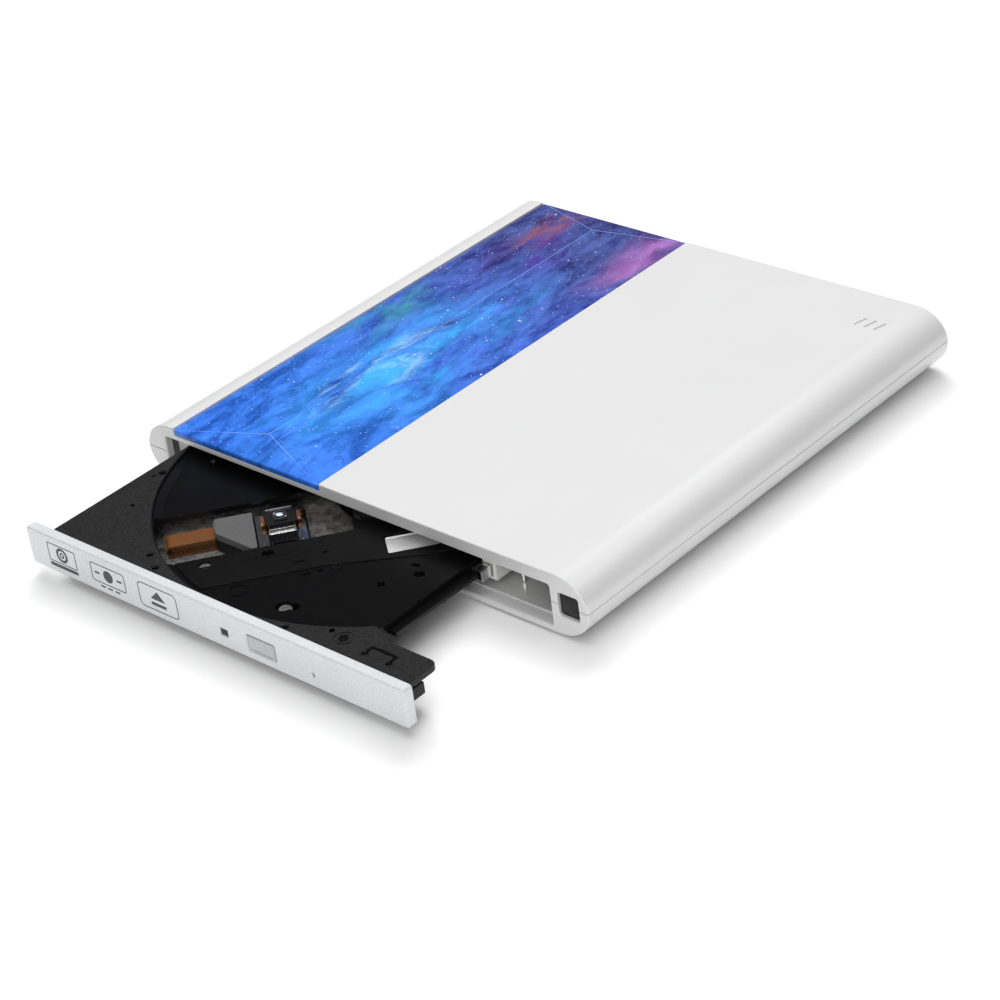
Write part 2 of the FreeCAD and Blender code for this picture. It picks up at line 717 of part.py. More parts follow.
def make_tray_openings(blank):
    """Cuts the pickup's window, the hub's hole and the smaller openings through the deck."""
    low = height("deck_under - 1")
    window = slab(
        "window_tool", [("14", "-7"), ("76", "-7"), ("76", "2.4"), ("65.8", "15"), ("14", "15")],
        low, height("rim_level - 1.5"),
    )
    in_sled_frame(window)
    motor_gap = in_sled_frame(slab("motor_gap_tool", rectangle(*MOTOR_GAP), low, height("rim_level")))
    hub = cylinder("hub_tool", "hub_hole", ("disc_x", in_tray("disc_depth")), (low, height("rim_level")))
    holes = [
        cylinder(f"deck_hole_{i}", str(radius), (str(x), in_case(str(y))), (low, height("rim_level + 1")))
        for i, (x, y, radius) in enumerate(DECK_HOLES)
    ]
    crescent = fuse(
        "deck_crescent",
        cylinder("crescent_broad", "2.0", ("12.0", in_case("-35.8")), (low, height("rim_level"))),
        cylinder("crescent_narrow", "1.4", ("14.4", in_case("-34.6")), (low, height("rim_level"))),
    )
    button_gap = box(
        "tray_button_gap", ("lamp_x - 2.2", "button_x + button_wide / 2 + 1"),
        (in_tray("bezel_thick - 1"), in_tray("bezel_thick + skirt_wall + 0.1")),
        (height("4.2"), height("deck_under + 1.1")),
    )
    pin_way = cylinder(
        "tray_pin_way", "pinhole_radius", ("pinhole_x", height("pinhole_z")),
        (in_tray("bezel_thick - 1"), in_tray("bezel_thick + skirt_wall + 0.1")), axis="y",
    )
    tools = [window, motor_gap, hub, *holes, crescent, button_gap, pin_way]
    node(cut("tray_opened", blank, *tools)).Label = "tray"


def make_bezel():
    body = doc.addObject("PartDesign::Body", "bezel_blank")
    add_pad(
        body, "bezel_slab", "XZ_Plane",
        rectangle(("bezel_left", "bezel_right"), (height("bezel_low"), height("bezel_high"))),
        in_tray("0"), in_tray("bezel_thick"),
    )
    round_edges(body, "bezel_ends", 1.0, runs_to_the_rear)
    front = -(sheet.tray_out + sheet.case_depth) / 2
    round_edges(body, "bezel_brow", 0.45, lambda e: e.BoundBox.YMax < front + 0.01)
    holes = [
        box(
            "bezel_button_hole",
            ("button_x - button_wide / 2 - button_play", "button_x + button_wide / 2 + button_play"),
            (in_tray("-1"), in_tray("bezel_thick + 1")),
            (height("button_low - button_play"), height("button_high + button_play")),
        ),
        box(
            "bezel_lamp_hole", ("lamp_x - lamp_wide / 2", "lamp_x + lamp_wide / 2"),
            (in_tray("-1"), in_tray("bezel_thick + 1")), (height("lamp_low"), height("lamp_high")),
        ),
        cylinder(
            "bezel_pinhole", "pinhole_radius", ("pinhole_x", height("pinhole_z")),
            (in_tray("-1"), in_tray("bezel_thick + 1")), axis="y",
        ),
    ]
    node(cut("bezel_opened", body, *holes)).Label = "bezel"
    node(box(
        "lamp_window", ("lamp_x - lamp_wide / 2", "lamp_x + lamp_wide / 2"),
        (in_tray("0.25"), in_tray("bezel_thick")), (height("lamp_low"), height("lamp_high")),
    ))
    cap = box(
        "button_cap", ("button_x - button_wide / 2", "button_x + button_wide / 2"),
        (in_tray("-button_proud"), in_tray("button_deep")), (height("button_low"), height("button_high")),
    )
    stem = cylinder(
        "button_stem", "0.9", ("button_x", height("(button_low + button_high) / 2")),
        (in_tray("button_deep - 0.1"), in_tray("3.4")), axis="y",
    )
    node(fuse("eject_button", cap, stem))


def make_front_board():
    """A small upright board behind the bezel, with the switch that the button presses and the lamp."""
    node(box(
        "front_board", ("lamp_x - 3", "button_x + 6"), (in_tray("6.4"), in_tray("7.2")),
        (height("tub_low + 0.2"), height("deck_under - 0.2")),
    ))
    node(box(
        "eject_switch", ("button_x - 2.2", "button_x + 2.2"), (in_tray("4.2"), in_tray("6.4")),
        (height("4.8"), height("8.0")),
    ))
    node(box(
        "lamp", ("lamp_x - 1", "lamp_x + 1"), (in_tray("4.6"), in_tray("6.4")), (height("5.4"), height("7.2"))
    ))


def make_covers():
    node(box(
        "tray_pan", ("tub_left", "tub_right"), (in_tray("bezel_thick"), in_tray("tub_back")),
        (height("pan_low"), height("tub_low")),
    ))
    sheet_outline = [
        ("60", "15"), ("60", "28"), ("22", "28"), ("-2", "31.6"), ("-14", "31.6"), ("-24", "18"),
        ("-24", "-20"), ("8", "-20"), ("8", "-7"), ("14", "-7"), ("14", "15"),
    ]
    through = (height("recess_floor - 1"), height("rim_level"))
    strip = slab("cover_strip", sheet_outline, height("recess_floor"), height("recess_floor + 0.3"))
    inside = cylinder(
        "cover_bound", "recess_radius - ledge_width - 0.4", ("0", "0"),
        (height("recess_floor - 1"), height("recess_floor + 2")),
    )
    holes = [
        cylinder("cover_hub", "hub_hole", ("0", "0"), through),
        cylinder("cover_hole_outer", "1.6", ("50.7", "18.2"), through),
        cylinder("cover_hole_inner", "1.6", ("35.4", "18.3"), through),
        box("cover_motor_gap", *MOTOR_GAP, through),
    ]
    node(in_sled_frame(cut("traverse_cover", common("cover_sheet", strip, inside), *holes)))


# ---------------------------------------------------------------- traverse, in the sled's frame


def make_traverse():
    plate = slab(
        "traverse_plate", [
            ("-22", "-17"), ("60", "-17"), ("60", "20"), ("52", "28"), ("-8", "28"), ("-22", "18"),
        ], height("plate_low"), height("plate_high"),
    )
    node(in_sled_frame(plate))
    for name, across, along in (
        ("guide_rod_main", "main_rod", ("12.0", "61.5")), ("guide_rod_side", "side_rod", ("15.0", "63")),
    ):
        rod = cylinder(name + "_bar", "rod_radius", (across, height("rod_level")), along, axis="x")
        node(in_sled_frame(group(name, rod)))
    blocks = []
    for index, (across, start) in enumerate((
        ("main_rod", 12.2), ("main_rod", 58.9), ("side_rod", 15.2), ("side_rod", 60.2),
    )):
        block = box(
            f"clamp_block_{index}", (str(start), f"{start} + 2.2"), (f"{across} - 2", f"{across} + 1.6"),
            (height("plate_high"), height("rod_level + 1.7")),
        )
        bore = cylinder(
            f"clamp_bore_{index}", "rod_radius", (across, height("rod_level")),
            (str(start - 1), str(start + 4)), axis="x",
        )
        blocks.append(cut(f"clamp_{index}", block, bore))
    end_block = box(
        "screw_end_block", ("56.2", "57.4"), ("screw_line - 1.2", "screw_line + 1.2"),
        (height("plate_high"), height("rod_level + 1.4")),
    )
    end_bore = cylinder(
        "screw_end_bore", "journal_radius + rod_gap", ("screw_line", height("rod_level")), ("55", "58"),
        axis="x",
    )
    blocks.append(cut("screw_end", end_block, end_bore))
    node(in_sled_frame(group("rod_clamps", *blocks)))


def make_sled_drive():
    can = cylinder(
        "motor_can", "2.45", ("screw_line", height("rod_level")), ("-4.6", "6.9"), axis="x"
    )
    bore = cylinder(
        "motor_bore", "journal_radius + rod_gap", ("screw_line", height("rod_level")), ("2", "8"), axis="x"
    )
    node(in_sled_frame(cut("sled_motor", can, bore)))
    inner, outer = ("-4.8", "7.5"), ("20.6", "27.6")
    upright = (height("plate_high"), height("bracket_high"))
    top = box("bracket_top", inner, outer, (height("bracket_high - 0.3"), height("bracket_high")))
    face = box("bracket_face", ("7.1", inner[1]), outer, upright)
    wall = box("bracket_wall", inner, ("27.2", outer[1]), upright)
    way = cylinder("bracket_way", "1.8", ("screw_line", height("rod_level")), ("6", "9"), axis="x")
    node(in_sled_frame(cut("motor_bracket", fuse("bracket_solid", top, face, wall), way)))
    thread = cylinder(
        "screw_thread", "screw_thick", ("screw_line", height("rod_level")), ("7.8", "55.9"), axis="x"
    )
    ends = cylinder(
        "screw_ends", "journal_radius", ("screw_line", height("rod_level")), ("2.4", "57.3"), axis="x"
    )
    node(in_sled_frame(fuse("lead_screw", thread, ends)))


def make_pickup():
    """The carriage on the two rods, and what stands on it."""
    outline = [("24.6", "-4.2"), ("47.3", "-4.2"), ("47.3", "3.3"), ("39.3", "13.2"), ("24.6", "13.2")]
    block = slab("carriage_block", outline, height("carriage_low"), height("carriage_high"))
    arm_span = (height("arm_low"), height("arm_high"))
    arms = [
        box("carriage_side_arm", ("26", "32"), ("side_rod - 2", "-4"), arm_span),
        box("carriage_main_arm", ("23", "31"), ("13", "main_rod + 1.8"), arm_span),
    ]
    bores = [
        cylinder(
            f"carriage_bore_{name}", "rod_radius + rod_gap", (f"{name}_rod", height("rod_level")),
            ("20", "40"), axis="x",
        )
        for name in ("side", "main")
    ]
    node(in_sled_frame(cut("pickup_carriage", fuse("carriage_solid", block, *arms), *bores)))
    nut = box(
        "nut_block", ("23", "27"), ("main_rod + 1.8", "screw_line + 1.9"),
        (height("arm_low + 0.2"), height("arm_high")),
    )
    thread = cylinder(
        "nut_bore", "screw_thick + rod_gap", ("screw_line", height("rod_level")), ("20", "30"), axis="x"
    )
    node(in_sled_frame(cut("sled_nut", nut, thread)))
    shield = slab(
        "shield_blank", [
            ("37.6", "-3.6"), ("47.0", "-3.6"), ("47.0", "3.2"), ("39.1", "12.9"), ("37.6", "12.9"),
        ], height("carriage_high"), height("shield_high"),
    )
    shield_room = slab(
        "shield_room", [
            ("37.9", "-3.3"), ("46.7", "-3.3"), ("46.7", "3.1"), ("39.0", "12.6"), ("37.9", "12.6"),
        ], height("carriage_high - 1"), height("shield_high - 0.3"),
    )
    node(in_sled_frame(cut("pickup_shield", shield, shield_room)))
    low = height("carriage_high")
    base = box("yoke_floor", ("25", "37.2"), ("-3.9", "12.6"), (low, height("yoke_high")))
    walls = [
        box("yoke_wall_back", ("27.5", "34.3"), ("-3.9", "-3.4"), (low, height("8.8"))),
        box("yoke_wall_mid", ("27.5", "34.3"), ("5.2", "5.8"), (low, height("8.6"))),
        box("yoke_wall_left", ("35.4", "36.2"), ("7.2", "12"), (low, height("8.4"))),
        box("yoke_wall_right", ("26", "26.8"), ("7.2", "12"), (low, height("8.4"))),
    ]
    node(in_sled_frame(fuse("actuator_yoke", base, *walls)))
    magnets = [
        box(f"magnet_block_{index}", ("28", "33.8"), across, (height("yoke_high"), height("8.3")))
        for index, across in enumerate((("-3.4", "-2.6"), ("4.4", "5.2")))
    ]
    node(in_sled_frame(group("magnets", *magnets)))
    node(in_sled_frame(group("suspension_block", box(
        "suspension_box", ("27.4", "34.6"), ("8.4", "12.2"), (height("yoke_high"), height("shield_high"))
    ))))
    node(in_sled_frame(group("pickup_board", box(
        "pickup_board_plate", ("25.4", "37"), ("12.7", "14.4"), (height("8.0"), height("8.35"))
    ))))


def make_lens():
    """The lens in its holder, with a coil at each side, as one sprung body over the yoke."""
    seat = "lens_reach"
    radius = "1.5"
    across = ("-2.2", "4.0")
    low, waist_high, high = height("7.9"), height("8.5"), height("9.1")
    frame_box = box("holder_box", (f"{seat} - 4", f"{seat} + 4"), across, (waist_high, high))
    waist = box("holder_waist", (f"{seat} - 2.4", f"{seat} + 2.4"), across, (low, waist_high))
    way = cylinder("holder_way", radius, (seat, "0"), (height("7"), height("10")))
    node(in_sled_frame(cut("lens_holder", fuse("holder_solid", frame_box, waist), way)))
    barrel = cylinder("lens_barrel", radius, (seat, "0"), (height("8.3"), height("9.0")))
    dome = doc.addObject("Part::Sphere", "lens_dome")
    dome.Radius = 2.0
    place(dome, seat, "0", height("7.5"))
    crown = common(
        "lens_crown", dome, cylinder("lens_crown_bound", radius, (seat, "0"), (height("8.9"), height("10")))
    )
    node(in_sled_frame(fuse("objective_lens", barrel, crown)))
    coils = []
    for index, side in enumerate(((-5.0, -4.0), (4.0, 5.0))):
        coils.append(box(
            f"coil_block_{index}", (f"{seat} + {side[0]}", f"{seat} + {side[1]}"), ("-0.6", "2.6"),
            (low, high),
        ))
    node(in_sled_frame(group("focus_coils", *coils)))


def make_spindle():
    bearing = turned("spindle_base", [
        ("shaft_radius + shaft_gap", height("plate_high")), ("12.5", height("plate_high")),
        ("12.5", height("4.5")), ("3.2", height("4.5")), ("3.2", height("7.8")),
        ("shaft_radius + shaft_gap", height("7.8")),
    ])
    node(bearing)
    coils = [
        cylinder("stator_outer", "10.2", ("disc_x", in_tray("disc_depth")), (height("4.9"), height("7.4"))),
        cylinder("stator_inner", "3.2", ("disc_x", in_tray("disc_depth")), (height("4.5"), height("8"))),
    ]
    node(cut("stator", *coils))
    blank = turned("turntable_blank", [
        ("0", height("4.2")), ("shaft_radius", height("4.2")), ("shaft_radius", height("8.2")),
        ("10.9", height("8.2")), ("10.9", height("5.0")), ("rotor_radius", height("5.0")),
        ("rotor_radius", height("9.0")), ("flange_radius", height("9.0")), ("flange_radius", height("10.0")),
        ("spigot_radius", height("10.0")), ("spigot_radius", height("spigot_top - 0.4")),
        ("spigot_radius - 0.8", height("spigot_top")), ("0", height("spigot_top")),
    ])
    slots, claws = [], []
    for index in range(3):
        turn = FreeCAD.Rotation(FreeCAD.Vector(0, 0, 1), 120 * index + 30)
        slot = box(
            f"claw_slot_{index}", ("0", "6"), ("0", "claw_wide"),
            (height("claw_low"), height("spigot_top + 1")),
        )
        claw = box(
            f"claw_tip_{index}", ("0", "4.2"), ("0", "claw_wide - 0.2"),
            (height("claw_low + 0.1"), height("spigot_top - 0.1")),
        )
        for item, reach, half in ((slot, 3.0, 1.2), (claw, 3.5, 1.1)):
            item.Placement.Rotation = turn
            corner = turn.multVec(FreeCAD.Vector(reach, -half, 0))
            bind(item, ".Placement.Base.x", f"disc_x + ({corner.x})")
            bind(item, ".Placement.Base.y", f"{in_tray('disc_depth')} + ({corner.y})")
        slots.append(slot)
        shoulder = doc.addObject("Part::Box", f"claw_shoulder_{index}")
        shoulder.Length, shoulder.Width = 2, 4
        shoulder.Placement.Rotation = turn
        corner = turn.multVec(FreeCAD.Vector(7.15, -2, 0))
        bind(shoulder, "Height", "disc_level + 1.4 - claw_low")
        place(
            shoulder, f"disc_x + ({corner.x})", f"{in_tray('disc_depth')} + ({corner.y})",
            height("claw_low"),
        )
        claws.append(cut(f"claw_{index + 1}", claw, shoulder))
    node(cut("turntable", blank, *slots))
    for claw in claws:
        node(claw)
    ring = [
        cylinder(
            "ring_outer", "14.4", ("disc_x", in_tray("disc_depth")), (height("10.0"), height("disc_level"))
        ),
        cylinder("ring_inner", "11.4", ("disc_x", in_tray("disc_depth")), (height("9"), height("12"))),
    ]
    node(cut("turntable_ring", *ring))


# ---------------------------------------------------------------- latch

# Depth and level of the line that the plunger slides along.
PLUNGER_LINE = (in_tray("9.3"), height("(lever_low + lever_high) / 2"))


def make_latch():
    """An L-shaped lever that hooks behind the chassis post.

    It is drawn engaged and turned to its released place.
    """
    lever = slab(
        "lever_arm", [
            ("-14.7", "-0.6"), ("0.7", "-0.6"), ("0.7", "6.3"), ("-2.8", "6.3"), ("-2.8", "5.1"),
            ("-0.7", "5.1"), ("-0.7", "0.6"), ("-14.7", "0.6"),
        ], height("lever_low"), height("lever_high"),
    )
    hub = cylinder("lever_hub", "1.7", ("0", "0"), (height("lever_low"), height("lever_high")))
    tab = box("lever_tab", ("-15.4", "-14.2"), ("-0.6", "0.6"), (height("lever_low"), height("6.4")))
    way = cylinder("lever_way", "pivot_radius + shaft_gap", ("0", "0"), (height("2"), height("6")))
    latch = cut("latch_lever", fuse("lever_solid", lever, hub, tab), way)
    latch.Placement.Rotation = FreeCAD.Rotation(FreeCAD.Vector(0, 0, 1), float(sheet.released_angle))
    bind(latch, ".Placement.Base.x", "pivot_x")
    bind(latch, ".Placement.Base.y", in_tray("pivot_depth"))
    node(latch)
    node(cylinder(
        "latch_pin", "pivot_radius", ("pivot_x", in_tray("pivot_depth")),
        (height("lever_low - 0.3"), height("rim_level - ear_thick")),
    ))
    node(cylinder(
        "solenoid_plunger", "plunger_radius", PLUNGER_LINE, ("solenoid_left - 1.1", "solenoid_left + 3.8"),
        axis="x",
    ))


def make_solenoid():
    """The magnet that holds the plunger, hung from the ear."""
    front, top = in_tray("7.0"), height("pan_low + 3.3")
    coil = box(
        "solenoid_box", ("solenoid_left", "solenoid_left + 5"), (front, in_tray("11.6")),
        (height("pan_low + 0.3"), top),
    )
    hanger = box(
        "solenoid_hanger", ("solenoid_left", "solenoid_left + 2.2"), (front, in_tray("9.0")),
        (top, height("rim_level - ear_thick")),
    )
    bore = cylinder(
        "solenoid_bore", "plunger_radius + shaft_gap", PLUNGER_LINE,
        ("solenoid_left - 1.2", "solenoid_left + 4.4"), axis="x",
    )
    node(cut("solenoid", fuse("solenoid_solid", coil, hanger), bore))


# ---------------------------------------------------------------- ribbons, dampers and screws


def make_tray_ribbon():
    """The flexible circuit from the case to the tray, folded back on itself behind the tray's motor."""
    across, wider = ("33.2", "36.0"), ("33", "37")
    fold, low, radius = "100", "2.2", "1.125"
    middle = (in_case(fold), height(f"{low} + {radius}"))
    top = f"{low} + 2 * {radius}"
    lower = box(
        "tray_ribbon_low", across, (in_case("56"), in_case(fold)),
        (height(low), height(f"{low} + ribbon_thick")),
    )
    upper = box(
        "tray_ribbon_high", across, (in_case("70"), in_case(fold)),
        (height(f"{top} - ribbon_thick"), height(top)),
    )
    bend = cylinder("ribbon_bend_out", radius, middle, across, axis="x")
    inside = cylinder("ribbon_bend_in", f"{radius} - ribbon_thick", middle, wider, axis="x")
    half = box("ribbon_bend_half", wider, (in_case("90"), in_case(fold)), (height("2"), height("5")))
    node(fuse("tray_ribbon", lower, upper, cut("ribbon_bend", bend, inside, half)))


def make_pickup_ribbon():
    """The flexible circuit from the pickup, out along its travel, down and back beneath it."""
    across, reach = ("-3.0", "2.8"), "59.6"
    high = height("carriage_high + ribbon_thick")
    low, low_top = height("plate_high + ribbon_thick"), height("plate_high + 2 * ribbon_thick")
    run = box("pickup_ribbon_run", ("47.2", reach), across, (height("carriage_high"), high))
    drop = box("pickup_ribbon_drop", (f"{reach} - ribbon_thick", reach), across, (low_top, high))
    back = box("pickup_ribbon_back", ("40", reach), across, (low, low_top))
    node(in_sled_frame(fuse("pickup_ribbon", run, drop, back)))


def make_dampers():
    rings = [
        cylinder(f"damper_{index}", "1.6", where, (height("plate_high"), height("deck_under")))
        for index, where in enumerate((("-15", "-12"), ("-12", "19")))
    ]
    node(in_sled_frame(group("dampers", *rings)))


def make_tray_screws():
    screws = [
        cylinder(
            f"tray_screw_{index}", "1.2", (x, in_case(depth)), (height(level), height(f"{level} + 0.35"))
        )
        for index, (x, depth, level) in enumerate((
            ("11.3", "-17.2", "recess_floor"), ("35.8", "-39.8", "rim_level"),
        ))
    ]
    node(group("tray_screws", *screws))


# ---------------------------------------------------------------- build, check and write

make_bottom_shell()
make_top_shell()
make_facet_panel()
make_end_plug()
make_feet()
make_case_screws()
make_chassis()
make_guides()
make_rails()
make_boards()
make_tray_openings(make_tray())
make_bezel()
make_front_board()
make_covers()
make_traverse()
make_sled_drive()
make_pickup()
make_lens()
make_spindle()
make_latch()
make_solenoid()
make_tray_ribbon()
make_pickup_ribbon()
make_dampers()
make_tray_screws()
doc.recompute()

failed = [item.Name for item in doc.Objects if {"Invalid", "Error"} & set(item.State)]
for item in SUBPARTS:
    if item.Shape.isNull() or not item.Shape.isValid():
        failed.append(item.Label)
if failed:
    raise SystemExit(f"not built: {failed}")
if len({item.Label for item in SUBPARTS}) != len(SUBPARTS):
    raise SystemExit("two sub-parts share a name")
for item in SUBPARTS:
    item.Shape.exportStep(f"parts/{item.Label}.step")
    print(f"{item.Label}: {len(item.Shape.Solids)} solid(s), {item.Shape.Volume:.1f} mm3")
print(len(SUBPARTS), "nodes")
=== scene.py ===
"""External optical drive with its tray part open: the visual model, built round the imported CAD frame.

Every piece is drawn in millimetres in one of four frames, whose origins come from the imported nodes: the case
(X across, depth back from its front face, level above its underside), the tray (depth back from the bezel),
the hub (about the disc's centre) and the sled (about the disc's centre, turned to the pickup's travel).
"""
import json
import math

import bmesh
import bpy
from mathutils import Matrix, Vector


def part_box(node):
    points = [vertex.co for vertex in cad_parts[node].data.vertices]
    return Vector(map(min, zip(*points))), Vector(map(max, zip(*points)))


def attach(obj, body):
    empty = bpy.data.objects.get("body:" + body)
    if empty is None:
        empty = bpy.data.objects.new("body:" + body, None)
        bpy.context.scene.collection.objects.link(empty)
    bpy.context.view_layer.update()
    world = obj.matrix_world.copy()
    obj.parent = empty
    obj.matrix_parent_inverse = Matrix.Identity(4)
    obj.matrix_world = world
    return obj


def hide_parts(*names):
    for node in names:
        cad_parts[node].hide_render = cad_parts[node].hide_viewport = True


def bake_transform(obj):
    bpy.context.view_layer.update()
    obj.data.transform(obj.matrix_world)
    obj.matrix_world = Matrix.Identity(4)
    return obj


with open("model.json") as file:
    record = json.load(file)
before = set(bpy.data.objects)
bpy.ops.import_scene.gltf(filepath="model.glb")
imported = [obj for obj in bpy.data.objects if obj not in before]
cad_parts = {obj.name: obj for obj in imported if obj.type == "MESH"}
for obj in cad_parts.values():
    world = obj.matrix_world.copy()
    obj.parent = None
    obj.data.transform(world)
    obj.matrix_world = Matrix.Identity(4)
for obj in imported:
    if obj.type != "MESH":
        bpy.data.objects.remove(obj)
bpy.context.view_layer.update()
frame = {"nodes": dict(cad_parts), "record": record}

SCENE = bpy.context.scene
MM = 0.001

# ---------------------------------------------------------------- frames

CASE_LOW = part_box("bottom_shell")[0]
BEZEL_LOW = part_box("bezel")[0]
HUB_LOW, HUB_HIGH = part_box("turntable")
HUB_MIDDLE = (HUB_LOW + HUB_HIGH) / 2
SLED_HEADING = 231


def shift(x, y, z):
    return Matrix.Translation((x, y, z))


def spin(degrees, axis="Z"):
    return Matrix.Rotation(math.radians(degrees), 4, axis)


def frame_at(x, y, turn=0.0):
    """Millimetres about a point at the level of the case's underside."""
    return shift(x, y, CASE_LOW.z) @ spin(turn) @ Matrix.Scale(MM, 4)


CASE = frame_at(0, CASE_LOW.y)
TRAY = frame_at(0, BEZEL_LOW.y)
HUB = frame_at(HUB_MIDDLE.x, HUB_MIDDLE.y)
SLED = frame_at(HUB_MIDDLE.x, HUB_MIDDLE.y, SLED_HEADING)
# Stands a drawing that lies in XY up to face the front: its Y becomes the level and its -Z the depth.
FACING = spin(90, "X")

# ---------------------------------------------------------------- outlines


def circle(x, y, radius, count=48):
    steps = (2 * math.pi * i / count for i in range(count))
    return [(x + radius * math.cos(a), y + radius * math.sin(a)) for a in steps]


def rectangle(x, y):
    return [(x[0], y[0]), (x[1], y[0]), (x[1], y[1]), (x[0], y[1])]


def rounded(points, radius, steps=6):
    """The outline with each corner turned into an arc."""
    out = []
    count = len(points)
    for i in range(count):
        here = Vector(points[i])
        before = Vector(points[i - 1]) - here
        after = Vector(points[(i + 1) % count]) - here
        opening = before.angle(after)
        reach = min(radius / math.tan(opening / 2), before.length * 0.49, after.length * 0.49)
        start = here + before.normalized() * reach
        end = here + after.normalized() * reach
        for k in range(steps + 1):
            t = k / steps
            out.append(tuple((1 - t) ** 2 * start + 2 * t * (1 - t) * here + t * t * end))
    return out


def soft_box(x, y, radius, steps=6):
    """A rectangle with round corners."""
    return rounded(rectangle(x, y), radius, steps)


def inset(x, y, gap):
    """Two ranges drawn in by a gap at each of their ends."""
    return (x[0] + gap, x[1] - gap), (y[0] + gap, y[1] - gap)


def arc(centre, radii, start, end, steps):
    """Points on an elliptical arc between two angles in degrees."""
    out = []
    for k in range(steps + 1):
        a = math.radians(start + (end - start) * k / steps)
        out.append((centre[0] + radii[0] * math.cos(a), centre[1] + radii[1] * math.sin(a)))
    return out


# ---------------------------------------------------------------- meshes in millimetres


def mesh_of(thing):
    """The evaluated mesh of a curve or of a mesh with modifiers, and nothing else left behind."""
    if isinstance(thing, bpy.types.Object):
        obj = thing
    else:
        obj = bpy.data.objects.new("scratch", thing)
        SCENE.collection.objects.link(obj)
    bpy.context.view_layer.update()
    graph = bpy.context.evaluated_depsgraph_get()
    mesh = bpy.data.meshes.new_from_object(obj.evaluated_get(graph))
    bpy.data.objects.remove(obj)
    return mesh


def mesh_from(bm, name, outward=True):
    """The bmesh made into a mesh, with its faces turned outward unless they are already."""
    if outward:
        bmesh.ops.recalc_face_normals(bm, faces=bm.faces)
    mesh = bpy.data.meshes.new(name)
    bm.to_mesh(mesh)
    bm.free()
    return mesh


def bridge(bm, rings):
    """Faces between each ring of vertices and the next."""
    for a, b in zip(rings, rings[1:]):
        for k in range(len(a)):
            following = (k + 1) % len(a)
            bm.faces.new((a[k], a[following], b[following], b[k]))


def plate(loops, low, high, edge=0.15, steps=2, facing=False):
    """A slab with rounded rims. The first loop is its outline and the others are holes."""
    curve = bpy.data.curves.new("outline", "CURVE")
    curve.dimensions = "2D"
    curve.fill_mode = "BOTH"
    for loop in loops:
        spline = curve.splines.new("POLY")
        spline.points.add(len(loop) - 1)
        for point, (x, y) in zip(spline.points, loop):
            point.co = (x, y, 0, 1)
        spline.use_cyclic_u = True
    curve.bevel_depth = edge
    curve.bevel_resolution = steps
    curve.offset = -edge
    curve.extrude = (high - low) / 2 - edge
    mesh = mesh_of(curve)
    middle = (low + high) / 2
    mesh.transform(shift(0, 0, -middle if facing else middle))
    if facing:
        mesh.transform(FACING)
    return welded(mesh)


def block(x, y, z, corner=0.3, edge=0.12, facing=False):
    """A box with rounded corners and rims."""
    if facing:
        return plate([soft_box(x, z, corner, 4)], *y, edge=edge, facing=True)
    return plate([soft_box(x, y, corner, 4)], *z, edge=edge)


def welded(mesh, distance=1e-4):
    bm = bmesh.new()
    bm.from_mesh(mesh)
    bmesh.ops.remove_doubles(bm, verts=bm.verts, dist=distance)
    bmesh.ops.dissolve_degenerate(bm, edges=bm.edges, dist=distance)
    bmesh.ops.recalc_face_normals(bm, faces=bm.faces)
    bm.to_mesh(mesh)
    bm.free()
    return mesh


def turned(profile, segments=64, x=0.0, y=0.0):
    """A body of revolution about Z from points of radius and level, ends on the axis or closed."""
    bm = bmesh.new()
    rings = []
    for radius, level in profile:
        ring = []
        for k in range(segments):
            a = 2 * math.pi * k / segments
            ring.append(bm.verts.new((x + radius * math.cos(a), y + radius * math.sin(a), level)))
        rings.append(ring)
    if profile[0][0] > 0 and profile[-1][0] > 0:
        rings.append(rings[0])
    bridge(bm, rings)
    return welded(mesh_from(bm, "turned", outward=False), 1e-5)


def rod(start, end, radius, chamfer=0.1, segments=32):
    """A round bar between two points with its ends broken."""
    start, end = Vector(start), Vector(end)
    length = (end - start).length
    profile = [
        (0, 0), (radius - chamfer, 0), (radius, chamfer), (radius, length - chamfer),
        (radius - chamfer, length), (0, length),
    ]
    mesh = turned(profile, segments)
    turn = (end - start).to_track_quat("Z", "Y").to_matrix().to_4x4()
    mesh.transform(shift(*start) @ turn)
    return mesh


def strip(line, width, thick):
    """A bent strip: a line of (run, level) points given a thickness, between two places along Y."""
    points = []
    for (a, za), (b, zb) in zip(line, line[1:]):
        count = max(1, int(math.hypot(b - a, zb - za)))
        points += [Vector((a + (b - a) * k / count, 0, za + (zb - za) * k / count)) for k in range(count)]
    points.append(Vector((line[-1][0], 0, line[-1][1])))
    bm = bmesh.new()
    rows = []
    for i, here in enumerate(points):
        ahead = (points[min(i + 1, len(points) - 1)] - points[max(i - 1, 0)]).normalized()
        rise = Vector((-ahead.z, 0, ahead.x)) * thick / 2
        rows.append([
            bm.verts.new(here + side * rise + Vector((0, y, 0)))
            for side, y in ((1, width[0]), (1, width[1]), (-1, width[1]), (-1, width[0]))
        ])
    bridge(bm, rows)
    bm.faces.new(rows[0])
    bm.faces.new(rows[-1][::-1])
    return mesh_from(bm, "strip")


def merged(meshes):
    bm = bmesh.new()
    for mesh in meshes:
        bm.from_mesh(mesh)
        bpy.data.meshes.remove(mesh)
    return mesh_from(bm, "merged", outward=False)


